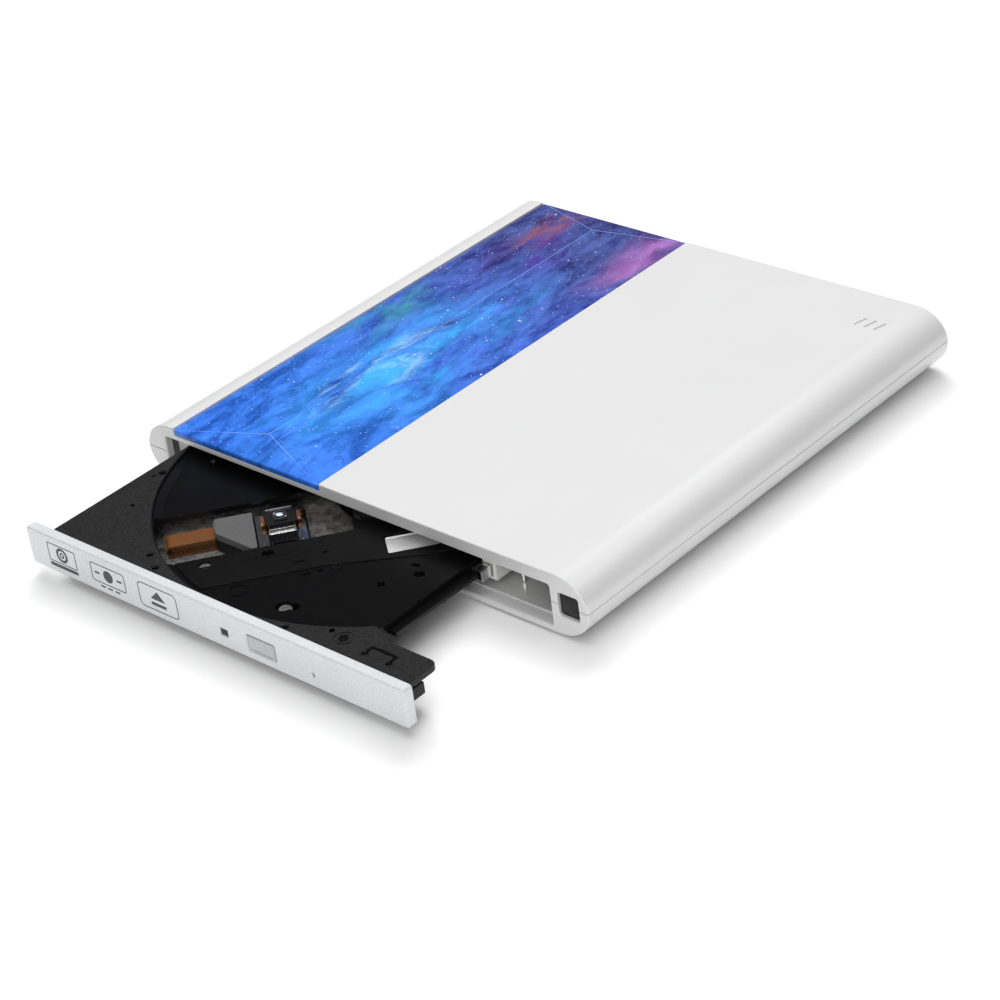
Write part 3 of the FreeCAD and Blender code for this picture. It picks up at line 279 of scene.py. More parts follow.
def carve(mesh, tools, operation="DIFFERENCE"):
    """The mesh after a boolean with each tool in turn."""
    obj = bpy.data.objects.new("carved", mesh)
    SCENE.collection.objects.link(obj)
    cutters = []
    for tool in tools:
        cutter = bpy.data.objects.new("cutter", tool)
        SCENE.collection.objects.link(cutter)
        cutters.append(cutter)
        change = obj.modifiers.new("carve", "BOOLEAN")
        change.operation = operation
        change.solver = "EXACT"
        change.object = cutter
    made = mesh_of(obj)
    for cutter in cutters:
        bpy.data.objects.remove(cutter)
    return welded(made)


def moved(mesh, *matrices):
    for matrix in matrices:
        mesh.transform(matrix)
    return mesh


def shade(mesh, angle=32):
    """Smooth faces with sharp edges where two of them meet at more than the angle."""
    bm = bmesh.new()
    bm.from_mesh(mesh)
    limit = math.radians(angle)
    for face in bm.faces:
        face.smooth = True
    for edge in bm.edges:
        edge.smooth = len(edge.link_faces) == 2 and edge.calc_face_angle(math.pi) < limit
    bm.to_mesh(mesh)
    bm.free()


def bevelled(obj, width, angle):
    """A small round on each edge that is sharper than the angle."""
    change = obj.modifiers.new("edges", "BEVEL")
    change.width = width * MM
    change.segments = 2
    change.limit_method = "ANGLE"
    change.angle_limit = math.radians(angle)


def piece(name, meshes, place, body, slot, replaced=(), edge=0.0, angle=32, finish=None):
    """One finished piece: its meshes joined, put in place, given a material and set on its body."""
    mesh = merged(meshes if isinstance(meshes, (list, tuple)) else [meshes])
    mesh.transform(place)
    shade(mesh, angle)
    mesh.materials.clear()
    mesh.materials.append(MATERIALS[finish or slot])
    obj = bpy.data.objects.new(name, mesh)
    mesh.name = name
    SCENE.collection.objects.link(obj)
    if edge:
        bevelled(obj, edge, angle)
    even = obj.modifiers.new("normals", "WEIGHTED_NORMAL")
    even.keep_sharp = True
    if body:
        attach(obj, body)
    if replaced:
        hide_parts(*replaced)
    return obj


# ---------------------------------------------------------------- material building


class Surface:
    """A node material about one Principled shader, with short calls for the nodes that feed it."""

    def __init__(self, name, **sockets):
        self.material = bpy.data.materials.new(name)
        self.material.use_nodes = True
        self.tree = self.material.node_tree
        self.shader = self.tree.nodes["Principled BSDF"]
        for key, value in sockets.items():
            self.shader.inputs[key.replace("_", " ")].default_value = value
        self.where = self.tree.nodes.new("ShaderNodeTexCoord").outputs["Object"]

    def node(self, kind, settings=None, **inputs):
        made = self.tree.nodes.new("ShaderNode" + kind)
        for key, value in (settings or {}).items():
            setattr(made, key, value)
        for key, value in inputs.items():
            self.feed(made.inputs[key], value)
        return made

    def feed(self, socket, value):
        if isinstance(value, bpy.types.NodeSocket):
            self.tree.links.new(value, socket)
        else:
            socket.default_value = value

    def noise(self, scale, detail=2.0, rough=0.5, where=None, distort=0.0):
        made = self.node("TexNoise", Scale=scale, Detail=detail, Roughness=rough, Distortion=distort)
        self.feed(made.inputs["Vector"], where or self.where)
        return made.outputs["Fac"]

    def stretched(self, x, y, z, turn=0.0):
        made = self.node("Mapping", Vector=self.where)
        made.inputs["Scale"].default_value = (x, y, z)
        made.inputs["Rotation"].default_value = (0, 0, turn)
        return made.outputs["Vector"]

    def cells(self, scale, feature="F1", output="Distance", where=None, randomness=1.0):
        made = self.node("TexVoronoi", {"feature": feature}, Scale=scale, Randomness=randomness)
        self.feed(made.inputs["Vector"], where or self.where)
        return made.outputs[output]

    def ramp(self, value, *stops):
        made = self.tree.nodes.new("ShaderNodeValToRGB")
        ramp = made.color_ramp
        while len(ramp.elements) < len(stops):
            ramp.elements.new(0.5)
        for element, (place, colour) in zip(ramp.elements, stops):
            element.position = place
            element.color = (*colour, 1) if isinstance(colour, tuple) else (colour, colour, colour, 1)
        self.feed(made.inputs["Fac"], value)
        return made.outputs["Color"]

    def spread(self, value, low, high, to_low, to_high):
        made = self.node("MapRange", {"interpolation_type": "SMOOTHSTEP"}, Value=value)
        for key, number in zip(("From Min", "From Max", "To Min", "To Max"), (low, high, to_low, to_high)):
            made.inputs[key].default_value = number
        return made.outputs["Result"]

    def mix(self, factor, first, second, blend="MIX"):
        made = self.tree.nodes.new("ShaderNodeMix")
        made.data_type = "RGBA"
        made.blend_type = blend
        self.feed(made.inputs[0], factor)
        colours = [s for s in made.inputs if s.type == "RGBA"]
        for socket, value in zip(colours, (first, second)):
            self.feed(socket, (*value, 1) if isinstance(value, tuple) else value)
        return next(s for s in made.outputs if s.type == "RGBA")

    def sum(self, operation, *values):
        made = self.tree.nodes.new("ShaderNodeMath")
        made.operation = operation
        for socket, value in zip(made.inputs, values):
            self.feed(socket, value)
        return made.outputs["Value"]

    def colour(self, value):
        self.feed(self.shader.inputs["Base Color"], value)

    def roughness(self, value):
        self.feed(self.shader.inputs["Roughness"], value)

    def bump(self, height, depth, strength=1.0):
        """Relief, with its depth in millimetres."""
        made = self.node("Bump", Height=height, Distance=depth * MM, Strength=strength)
        self.tree.links.new(made.outputs["Normal"], self.shader.inputs["Normal"])


def moulded(name, dark, light, gloss, grain=2600, relief=0.012, speckle=0.5, **sockets):
    """Moulded or painted plastic: two near shades in fine speckle, uneven gloss and a fine grain."""
    s = Surface(name, **sockets)
    fine = s.noise(grain, 3, 0.6)
    broad = s.noise(38, 2)
    s.colour(s.ramp(s.sum("ADD", s.sum("MULTIPLY", fine, speckle), s.sum("MULTIPLY", broad, 1 - speckle)),
                    (0.35, dark), (0.65, light)))
    s.roughness(s.spread(s.noise(160, 3), 0.3, 0.7, gloss[0], gloss[1]))
    s.bump(s.noise(grain, 2), relief)
    return s.material


def deck(name):
    """The tray's black plastic: smooth and dark in the disc's recess, textured and greyer on the rim."""
    s = Surface(name, Specular_IOR_Level=0.3)
    level = s.node("SeparateXYZ", Vector=s.where).outputs["Z"]
    on_rim = s.spread(level, DECK_TURN[0], DECK_TURN[1], 0, 1)
    grain = s.noise(2400, 3, 0.65)
    floor = s.ramp(grain, (0.35, (0.0015, 0.0015, 0.002)), (0.65, (0.005, 0.005, 0.0055)))
    rim = s.ramp(grain, (0.35, (0.009, 0.009, 0.0095)), (0.65, (0.032, 0.032, 0.033)))
    s.colour(s.mix(on_rim, floor, rim))
    gloss = s.spread(s.noise(160, 3), 0.3, 0.7, 0.32, 0.44)
    s.roughness(s.sum("ADD", gloss, s.sum("MULTIPLY", on_rim, 0.16)))
    s.bump(grain, 0.03)
    return s.material


def metal(name, dark, light, gloss, brush=(1, 1, 1), scale=900, relief=0.004, **sockets):
    """Bare metal with streaks or cloudiness at one scale and faint scratches."""
    s = Surface(name, Metallic=1.0, **sockets)
    grain = s.noise(scale, 4, 0.6, where=s.stretched(*brush))
    s.colour(s.ramp(grain, (0.3, dark), (0.7, light)))
    s.roughness(s.spread(grain, 0.3, 0.7, gloss[0], gloss[1]))
    s.bump(grain, relief)
    return s.material


def galvanised(name):
    """Zinc-coated sheet: dull flakes of different greys, with dark speckle."""
    s = Surface(name, Metallic=0.55)
    flakes = s.cells(650, output="Color")
    shade_of = s.node("SeparateColor", Color=flakes).outputs["Red"]
    cloud = s.noise(420, 5, 0.7)
    s.colour(s.mix(s.ramp(cloud, (0.38, 0.0), (0.62, 1.0)), (0.20, 0.19, 0.18),
                   s.ramp(shade_of, (0.0, (0.42, 0.41, 0.40)), (1.0, (0.62, 0.62, 0.61)))))
    s.roughness(s.spread(shade_of, 0, 1, 0.28, 0.5))
    s.bump(s.noise(500, 4, 0.7), 0.02)
    return s.material


def nebula(name, low, high):
    """A glossy printed star field: blue at the front, cyan in the middle, indigo and pink behind."""
    s = Surface(name, Roughness=0.16, Coat_Weight=0.12, Coat_Roughness=0.03, Specular_IOR_Level=0.22)
    size = high - low
    plan = s.node("Mapping", {"vector_type": "POINT"}, Vector=s.where)
    plan.inputs["Location"].default_value = (-low.x / size.x, -low.y / size.y, 0)
    plan.inputs["Scale"].default_value = (1 / size.x, 1 / size.y, 0)
    flat = plan.outputs["Vector"]
    swirl = s.node("TexNoise", Scale=2.2, Detail=5.0, Roughness=0.6, Vector=flat).outputs["Color"]
    reach_x, reach_y = 0.42, 0.30
    drift = s.node("VectorMath", {"operation": "MULTIPLY_ADD"})
    for socket, value in zip(drift.inputs, (swirl, (reach_x, reach_y, 0), flat)):
        s.feed(socket, value)
    warped = drift.outputs["Vector"]
    along = s.node("SeparateXYZ", Vector=warped).outputs["Y"]

    def cloud(x, y, reach, scale, floor):
        """A patch of glow about a place on the panel, broken up by noise."""
        gap = s.node("VectorMath", {"operation": "DISTANCE"})
        s.feed(gap.inputs[0], warped)
        gap.inputs[1].default_value = (x + reach_x / 2, y + reach_y / 2, 0)
        near = s.spread(gap.outputs["Value"], 0, reach, 1, 0)
        torn = s.spread(s.noise(scale, 6, 0.62, where=warped), floor, 0.72, 0, 1)
        return s.sum("MULTIPLY", near, torn)

    ground = s.ramp(
        along, (0.16, (0.02, 0.17, 0.94)), (0.42, (0.03, 0.19, 0.90)), (0.70, (0.05, 0.09, 0.64)),
        (1.0, (0.05, 0.035, 0.26)),
    )
    dust = s.spread(s.noise(9, 10, 0.72, where=warped), 0.34, 0.66, 0, 1)
    colour = s.mix(dust, s.mix(0.62, ground, (0.002, 0.004, 0.03)), s.mix(0.16, ground, (0.25, 0.6, 1.0)))
    for x, y, reach, scale, floor, tint in (
        (0.58, 0.38, 0.50, 6, 0.34, (0.06, 0.46, 1.0)),
        (0.12, 0.50, 0.26, 7, 0.40, (0.05, 0.34, 0.30)),
        (0.97, 0.98, 0.28, 5, 0.34, (0.48, 0.19, 0.55)),
        (0.35, 0.86, 0.34, 6, 0.40, (0.10, 0.045, 0.36)),
        (0.22, 0.92, 0.20, 7, 0.42, (0.34, 0.11, 0.08)),
        (0.52, 0.33, 0.20, 11, 0.46, (0.55, 0.88, 1.0)),
    ):
        colour = s.mix(cloud(x, y, reach, scale, floor), colour, tint)
    for scale, size_of, rarest, tint in (
        (150, 0.06, 0.55, (1.0, 1.0, 1.0)),
        (380, 0.12, 0.40, (0.9, 0.95, 1.0)),
        (850, 0.22, 0.35, (0.5, 0.72, 1.0)),
    ):
        stars = s.cells(scale)
        lone = s.node("SeparateColor", Color=s.cells(scale, output="Color")).outputs["Green"]
        spark = s.sum("MULTIPLY", s.spread(stars, 0.02, size_of, 1, 0), s.spread(lone, rarest, 0.9, 0, 1))
        colour = s.mix(spark, colour, tint)
    s.colour(colour)
    s.bump(s.noise(300, 2), 0.002)
    return s.material


def circuit(name):
    """Green solder mask over copper tracks, with bare pads."""
    s = Surface(name, Coat_Weight=0.4, Coat_Roughness=0.15)
    lanes = s.cells(420, "DISTANCE_TO_EDGE", where=s.stretched(1, 0.35, 1))
    tracks = s.spread(lanes, 0.03, 0.08, 1, 0)
    pads = s.spread(s.cells(700, randomness=0.3), 0.10, 0.14, 1, 0)
    green = s.mix(tracks, (0.010, 0.085, 0.035), (0.03, 0.20, 0.08))
    bare = s.sum("MULTIPLY", pads, s.spread(s.noise(90), 0.52, 0.6, 0, 1))
    s.colour(s.mix(bare, green, (0.75, 0.72, 0.62)))
    s.roughness(s.spread(lanes, 0, 0.2, 0.45, 0.3))
    s.bump(tracks, 0.03)
    return s.material


def film(name, heading):
    """Flexible printed film: amber, with fine conductors along its heading in degrees."""
    s = Surface(name, Coat_Weight=0.5, Coat_Roughness=0.1)
    lines = s.node("TexWave", {"wave_type": "BANDS", "bands_direction": "Y"}, Scale=620.0, Distortion=0.0)
    s.feed(lines.inputs["Vector"], s.stretched(1, 1, 0, -math.radians(heading)))
    stripe = s.spread(lines.outputs["Fac"], 0.35, 0.65, 0, 1)
    s.colour(s.mix(stripe, (0.085, 0.026, 0.006), (0.24, 0.095, 0.028)))
    s.roughness(s.spread(s.noise(300), 0.3, 0.7, 0.25, 0.4))
    s.bump(stripe, 0.02)
    return s.material


def winding(name):
    """Enamelled copper wire laid in even turns."""
    s = Surface(name, Metallic=0.85)
    turns = s.node("TexWave", {"wave_type": "BANDS", "bands_direction": "Z"}, Scale=1500.0, Distortion=0.4)
    s.feed(turns.inputs["Vector"], s.where)
    s.colour(s.ramp(turns.outputs["Fac"], (0.1, (0.30, 0.10, 0.035)), (0.8, (0.85, 0.40, 0.20))))
    s.roughness(s.spread(turns.outputs["Fac"], 0, 1, 0.45, 0.25))
    s.bump(turns.outputs["Fac"], 0.05)
    return s.material


def glass(name, tint, **sockets):
    s = Surface(name, Transmission_Weight=1.0, IOR=1.5, **sockets)
    s.colour(s.ramp(s.noise(60, 1), (0.2, tint), (0.8, tuple(min(1.0, c * 1.15) for c in tint))))
    s.roughness(s.spread(s.noise(500), 0.3, 0.7, 0.02, 0.06))
    return s.material


PANEL_LOW, PANEL_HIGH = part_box("facet_panel")
# Heights between which the deck turns from the recess's finish to the rim's.
DECK_TURN = (CASE_LOW.z + 10.9 * MM, CASE_LOW.z + 11.5 * MM)
# The CAD model has materials of the same names, so Blender adds a number to these after a dot.
MATERIALS = {made.name.split(".")[0]: made for made in (
    moulded("case_plastic", (0.725, 0.725, 0.727), (0.765, 0.765, 0.767), (0.30, 0.34), 3200,
        0.002, 0.7, Metallic=0.1, Coat_Weight=0.3, Coat_Roughness=0.2),
    nebula("panel_print", PANEL_LOW, PANEL_HIGH),
    moulded("black_plastic", (0.002, 0.002, 0.0025), (0.006, 0.006, 0.007), (0.25, 0.36), 2600,
        0.006, Specular_IOR_Level=0.3),
    deck("tray_plastic"),
    moulded("bezel_paint", (0.66, 0.67, 0.685), (0.84, 0.85, 0.865), (0.30, 0.42), 2600, 0.01, 0.8,
        Metallic=0.2),
    moulded("button_paint", (0.46, 0.465, 0.475), (0.62, 0.625, 0.64), (0.28, 0.40), 2600, 0.01,
        0.8, Metallic=0.25),
    moulded("mark_ink", (0.055, 0.055, 0.06), (0.10, 0.10, 0.105), (0.5, 0.65), 2600, 0.004, 0.7),
    # Light blue for the lines along the panel's ridge and hips: a painted highlight of those edges.
    moulded("panel_ridge_highlight", (0.10, 0.26, 0.80), (0.30, 0.50, 1.0), (0.15, 0.25), 300, 0.002, 0.4),
    moulded("rubber", (0.015, 0.015, 0.016), (0.035, 0.035, 0.036), (0.7, 0.9), 1800, 0.03, 0.6),
    galvanised("zinc_steel"),
    metal("bright_sheet", (0.80, 0.80, 0.80), (0.93, 0.93, 0.92), (0.22, 0.34), (1, 0.15, 1), 500),
    metal("bright_steel", (0.58, 0.58, 0.58), (0.82, 0.82, 0.81), (0.14, 0.30), (1, 1, 6)),
    moulded("black_steel", (0.002, 0.002, 0.002), (0.008, 0.008, 0.0085), (0.40, 0.52), 1500,
        0.008, 0.6, Specular_IOR_Level=0.3),
    circuit("board_green"),
    moulded("chip_black", (0.006, 0.006, 0.006), (0.018, 0.018, 0.019), (0.4, 0.55), 5200, 0.012,
        0.9, Specular_IOR_Level=0.35),
    winding("copper"),
    glass("optic_glass", (0.62, 0.72, 0.92), Coat_Weight=0.6, Coat_Roughness=0.02),
    moulded("smoke_lens", (0.004, 0.006, 0.004), (0.012, 0.016, 0.010), (0.06, 0.12), 900, 0.001,
        0.3, Specular_IOR_Level=0.3),
    film("amber_film", SLED_HEADING),
    film("amber_film_straight", 90),
    moulded("bright_paint", (0.80, 0.80, 0.80), (0.92, 0.92, 0.915), (0.16, 0.26), 900, 0.004,
        0.6, Metallic=0.3, Coat_Weight=0.4, Coat_Roughness=0.08),
    moulded("white_plastic", (0.72, 0.72, 0.70), (0.82, 0.82, 0.80), (0.35, 0.5), 1800, 0.01,
        0.4),
    moulded("grey_metal", (0.13, 0.13, 0.132), (0.19, 0.19, 0.192), (0.38, 0.5), 2400, 0.01, 0.8,
        Metallic=0.35),
    metal("magnet", (0.22, 0.22, 0.23), (0.36, 0.36, 0.37), (0.25, 0.4), (1, 1, 1), 700, 0.01),
)}

# ---------------------------------------------------------------- camera, floor and lights


# Azimuth, elevation and roll in degrees, and the camera's place along its own axes in millimetres.
CAMERA_ANGLES = (45.21, 31.58, -7.63)
CAMERA_RIGHT, CAMERA_UP, CAMERA_BACK = 34.33, 14.14, 659.6
CAMERA_LENS = 97.3


def make_camera():
    """The photograph's angle, a little above and to the right of the bezel, with a long lens."""
    azimuth, elevation, roll = (math.radians(a) for a in CAMERA_ANGLES)
    level = math.cos(elevation)
    back = Vector((math.sin(azimuth) * level, -math.cos(azimuth) * level, math.sin(elevation)))
    side = Vector((math.cos(azimuth), math.sin(azimuth), 0))
    rise = back.cross(side)
    right = side * math.cos(roll) + rise * math.sin(roll)
    up = rise * math.cos(roll) - side * math.sin(roll)
    base = Vector((0, CASE_LOW.y, CASE_LOW.z - 1.4 * MM))
    data = bpy.data.cameras.new("camera")
    data.sensor_width = 36
    data.lens = CAMERA_LENS
    data.clip_start, data.clip_end = 0.01, 20
    camera = bpy.data.objects.new("camera", data)
    camera.matrix_world = Matrix((
        (right.x, up.x, back.x, 0), (right.y, up.y, back.y, 0), (right.z, up.z, back.z, 0), (0, 0, 0, 1),
    ))
    camera.location = base + (right * CAMERA_RIGHT + up * CAMERA_UP + back * CAMERA_BACK) * MM
    SCENE.collection.objects.link(camera)
    SCENE.camera = camera


def make_floor():
    s = Surface("floor_white", Roughness=0.85)
    s.colour(s.ramp(s.noise(3, 2), (0.3, (0.90, 0.90, 0.90)), (0.7, (0.92, 0.92, 0.92))))
    bm = bmesh.new()
    bmesh.ops.create_grid(bm, x_segments=2, y_segments=2, size=4)
    mesh = mesh_from(bm, "floor", outward=False)
    mesh.materials.append(s.material)
    floor = bpy.data.objects.new("floor", mesh)
    SCENE.collection.objects.link(floor)


def softbox(name, place, aim, size, power, glossy=True):
    data = bpy.data.lights.new(name, "AREA")
    data.shape = "RECTANGLE"
    data.size, data.size_y = size
    data.energy = power
    lamp = bpy.data.objects.new(name, data)
    lamp.location = place
    lamp.rotation_euler = (Vector(aim) - Vector(place)).to_track_quat("-Z", "Y").to_euler()
    lamp.visible_glossy = glossy
    SCENE.collection.objects.link(lamp)


def make_lights():
    """A soft white room, dimmer toward the horizon, with three large softboxes and a narrow one."""
    world = bpy.data.worlds.new("studio")
    world.use_nodes = True
    nodes, links = world.node_tree.nodes, world.node_tree.links
    where = nodes.new("ShaderNodeTexCoord")
    parts = nodes.new("ShaderNodeSeparateXYZ")
    fade = nodes.new("ShaderNodeMapRange")
    links.new(where.outputs["Generated"], parts.inputs["Vector"])
    links.new(parts.outputs["Z"], fade.inputs["Value"])
    for key, value in (("From Min", 0.0), ("From Max", 0.75), ("To Min", 0.42), ("To Max", 1.95)):
        fade.inputs[key].default_value = value
    links.new(fade.outputs["Result"], nodes["Background"].inputs["Strength"])
    SCENE.world = world
    middle = (0, 0, 0.01)
    softbox("key", (-0.45, 0.45, 0.75), middle, (0.7, 0.5), 7.4, glossy=False)
    softbox("fill", (0.5, -0.7, 0.5), middle, (0.6, 0.6), 3.6)
    softbox("top", (0.1, -0.1, 1.0), middle, (0.9, 0.9), 6.2, glossy=False)
    softbox("band", (0.12, 0.62, 0.75), middle, (0.9, 0.12), 0.55)
    SCENE.view_settings.view_transform = "Standard"


# ---------------------------------------------------------------- case

BULGE, HALF_THICK, HALF_WIDE, WALL = 9.5, 8.2, 74.0, 1.6
THICK, PARTING, DEPTH = 16.4, 8.45, 146.5
MOUTH_X, MOUTH_Z = (-66.8, 62.7), (1.6, 12.85)
CHANNEL_X, CHANNEL_FLOOR = (-62.9, -10.5), 14.4
FRONT_WALL, RIM = 2.0, 0.35


def side_arc(side, start, end, inset=0.0, steps=22):
    """Points on one of the case's half-elliptic long sides, by angle in degrees from level."""
    centre = (side * (HALF_WIDE - BULGE), HALF_THICK)
    points = arc(centre, (BULGE - inset, HALF_THICK - inset), start, end, steps)
    return [(centre[0] + side * (x - centre[0]), z) for x, z in points]


def flared(x, z, depth, flare=0.3, corner=0.8):
    """A cutter for an opening in the front face, wider at the face so that the edge is broken."""
    bm = bmesh.new()
    rings = []
    for y, grow in ((-1.0, flare + 1.0), (flare, 0.0), (depth, 0.0)):
        outline = rounded(rectangle((x[0] - grow, x[1] + grow), (z[0] - grow, z[1] + grow)), corner + grow, 4)
        rings.append([bm.verts.new((px, y, pz)) for px, pz in outline])
    bridge(bm, rings)
    bm.faces.new(rings[0])
    bm.faces.new(rings[-1])
    return mesh_from(bm, "flared")


PLUG_X, PLUG_Z, PLUG_DEPTH = (65.0, 71.2), (5.3, 11.7), 3.4
LEVEL_ANGLE = math.degrees(math.asin((PARTING - HALF_THICK) / HALF_THICK))
GROOVE = 0.14
SCREWS = [(-60, 139.6), (60, 139.6)]
FEET = [(x, depth) for x in (-60, 60) for depth in (14, DEPTH - 14)]


def plug_wall(low, high):
    return block((63.8, 71.0), (0.5, 4.6), (low, high), facing=True)


def mirrored(points):
    return [(-x, z) for x, z in reversed(points)]


def hollow_half(outline, room):
    """Half of the case's section drawn through its depth, with a room inside between the end walls."""
    shell = plate([outline], 0, DEPTH, edge=RIM, facing=True)
    return carve(shell, [plate([room], FRONT_WALL, DEPTH - WALL, edge=0.3, facing=True)])


def front_openings():
    return [flared(MOUTH_X, MOUTH_Z, FRONT_WALL + 0.5), flared(PLUG_X, PLUG_Z, PLUG_DEPTH, 0.2)]


def make_top_shell():
    top = side_arc(1, LEVEL_ANGLE + 1.2, 90)
    outline = [(HALF_WIDE - 1.0, PARTING), (HALF_WIDE - GROOVE, PARTING)] + top + [
        (CHANNEL_X[1], THICK), (CHANNEL_X[1], CHANNEL_FLOOR), (CHANNEL_X[0], CHANNEL_FLOOR),
        (CHANNEL_X[0], THICK),
    ] + mirrored(top) + [(GROOVE - HALF_WIDE, PARTING), (1.0 - HALF_WIDE, PARTING)]
    inside = side_arc(1, 0, 90, WALL)
    bed = CHANNEL_FLOOR - 1.0
    room = [(HALF_WIDE - WALL, PARTING - 1)] + inside + [
        (CHANNEL_X[1] + 1, THICK - WALL), (CHANNEL_X[1] + 1, bed), (CHANNEL_X[0] - 1, bed),
        (CHANNEL_X[0] - 1, THICK - WALL),
    ] + mirrored(inside) + [(WALL - HALF_WIDE, PARTING - 1)]
    hollow = carve(hollow_half(outline, room), [plug_wall(PARTING, 13.2)], "UNION")
    tools = front_openings()
    for index in range(3):
        slot = block((-0.27, 0.27), (-2.2, 2.2), (THICK - 0.8, THICK + 1), corner=0.26)
        tools.append(moved(slot, spin(-14), shift(57.0 + 3.0 * index, DEPTH - 14.4, 0)))
    piece("top_shell_moulding", carve(hollow, tools), CASE, "case", "case_plastic", ["top_shell"])


def make_bottom_shell():
    low = side_arc(1, -90, LEVEL_ANGLE - 1.2)
    outline = low + [(HALF_WIDE - GROOVE, PARTING), (GROOVE - HALF_WIDE, PARTING)] + mirrored(low)
    inside = side_arc(1, -90, 0, WALL)
    room = inside + [(HALF_WIDE - WALL, PARTING + 1), (WALL - HALF_WIDE, PARTING + 1)] + mirrored(inside)
    additions = [plug_wall(3.6, PARTING)]
    for x, depth in SCREWS:
        additions.append(turned([(0, 1), (2.6, 1), (2.5, PARTING - 0.1), (0, PARTING - 0.1)], 32, x, depth))
    hollow = carve(hollow_half(outline, room), additions, "UNION")
    tools = front_openings()
    port = flared((-8.2, 1.1), (4.8, 8.35), 3.0, 0.15)
    tools.append(moved(port, Matrix.Scale(-1, 4, (0, 1, 0)), shift(0, DEPTH, 0)))
    for x, depth in SCREWS:
        tools.append(turned([(0, -1), (3.2, -1), (1.9, 0.3), (1.9, 1.1), (0, 1.1)], 40, x, depth))
    for x, depth in FEET:
        tools.append(turned([(0, -1), (5.4, -1), (5.4, 0.25), (0, 0.25)], 48, x, depth))
    piece("bottom_shell_moulding", carve(hollow, tools), CASE, "case", "case_plastic", ["bottom_shell"])


def make_facet_panel():
    left, right = CHANNEL_X[0] + 0.15, CHANNEL_X[1] - 0.15
    base, rim, ridge = CHANNEL_FLOOR, CHANNEL_FLOOR + 1.55, CHANNEL_FLOOR + 3.5
    middle, hip = (left + right) / 2, 9.4
    bm = bmesh.new()
    corners = rectangle((left, right), (0, DEPTH))
    low = [bm.verts.new((x, y, base)) for x, y in corners]
    high = [bm.verts.new((x, y, rim)) for x, y in corners]
    front, back = bm.verts.new((middle, hip, ridge)), bm.verts.new((middle, DEPTH - hip, ridge))
    bm.faces.new(low[::-1])
    for k in range(4):
        bm.faces.new((low[k], low[(k + 1) % 4], high[(k + 1) % 4], high[k]))
    bm.faces.new((high[0], high[1], front))
    bm.faces.new((high[1], high[2], back, front))
    bm.faces.new((high[2], high[3], back))
    bm.faces.new((high[3], high[0], front, back))
    mesh = mesh_from(bm, "panel", outward=False)
    panel = piece("facet_panel_print", mesh, CASE, "case", "panel_print", ["facet_panel"], edge=0.28, angle=3)
    panel.modifiers["edges"].segments = 3
    # The light blue lines laid along the ridge and the four hips are painted highlights of those edges.
    tips = [Vector((middle, hip, ridge)), Vector((middle, DEPTH - hip, ridge))]
    ends = [(left, 0, 0), (right, 0, 0), (left, DEPTH, 1), (right, DEPTH, 1)]
    highlight_radius, sunk = 0.09, 0.05
    lines = [rod(tips[0], tips[1], highlight_radius, 0.02, 12)]
    for x, y, tip in ends:
        corner = Vector((x, y, rim))
        run = tips[tip] - corner
        lines.append(rod(corner + run * 0.015, tips[tip] - run * 0.004, highlight_radius, 0.02, 12))
    for line in lines:
        line.transform(shift(0, 0, -sunk))
    piece("facet_panel_highlight_lines", lines, CASE, "case", "panel_print", finish="panel_ridge_highlight")


def make_end_plug():
    x, z = (PLUG_X[0] + 0.1, PLUG_X[1] - 0.1), (PLUG_Z[0] + 0.1, PLUG_Z[1] - 0.1)
    outline = soft_box(x, z, 0.75, 4)
    bm = bmesh.new()
    tip = bm.verts.new(((x[0] + x[1]) / 2, 0.15, (z[0] + z[1]) / 2))
    ring = [bm.verts.new((px, 0.9, pz)) for px, pz in outline]
    back = [bm.verts.new((px, PLUG_DEPTH - 0.1, pz)) for px, pz in outline]
    for k in range(len(ring)):
        following = (k + 1) % len(ring)
        bm.faces.new((tip, ring[following], ring[k]))
        bm.faces.new((ring[k], ring[following], back[following], back[k]))
    bm.faces.new(back)
    piece("end_plug_faceted", mesh_from(bm, "plug"), CASE, "case", "black_plastic", ["end_plug"], edge=0.06,
          angle=12)


def cross_head(x, y, low, high, radius, upward=True, arms=0.62):
    """A screw's pan head with a cross recess."""
    crown = [(0, low), (radius, low), (radius, low + (high - low) * 0.55), (radius * 0.86, high), (0, high)]
    head = turned(crown, 40, x, y)
    tools = []
    for a, b in ((arms, 0.16), (0.16, arms)):
        tools.append(block((x - radius * a, x + radius * a), (y - radius * b, y + radius * b),
                           (high - (high - low) * 0.6, high + 1), corner=0.05, edge=0.02))
    made = carve(head, tools)
    if not upward:
        middle = (low + high) / 2
        made.transform(shift(0, 0, middle) @ Matrix.Scale(-1, 4, (0, 0, 1)) @ shift(0, 0, -middle))
        made.flip_normals()
    return made


def make_case_fittings():
    dome = [(0, -0.8), (4.2, -0.8), (4.75, -0.7), (5, -0.45), (5, 0.22), (0, 0.22)]
    feet = [turned(dome, 56, x, depth) for x, depth in FEET]
    piece("rubber_feet_domed", feet, CASE, "case", "rubber", ["rubber_feet"])
    screws = []
    for x, depth in SCREWS:
        screws.append(cross_head(x, depth, 0.2, 1.1, 1.7, upward=False))
        screws.append(rod((x, depth, 1.0), (x, depth, 11.9), 0.8))
    piece("case_screws_crossed", screws, CASE, "case", "zinc_steel", ["case_screws"])


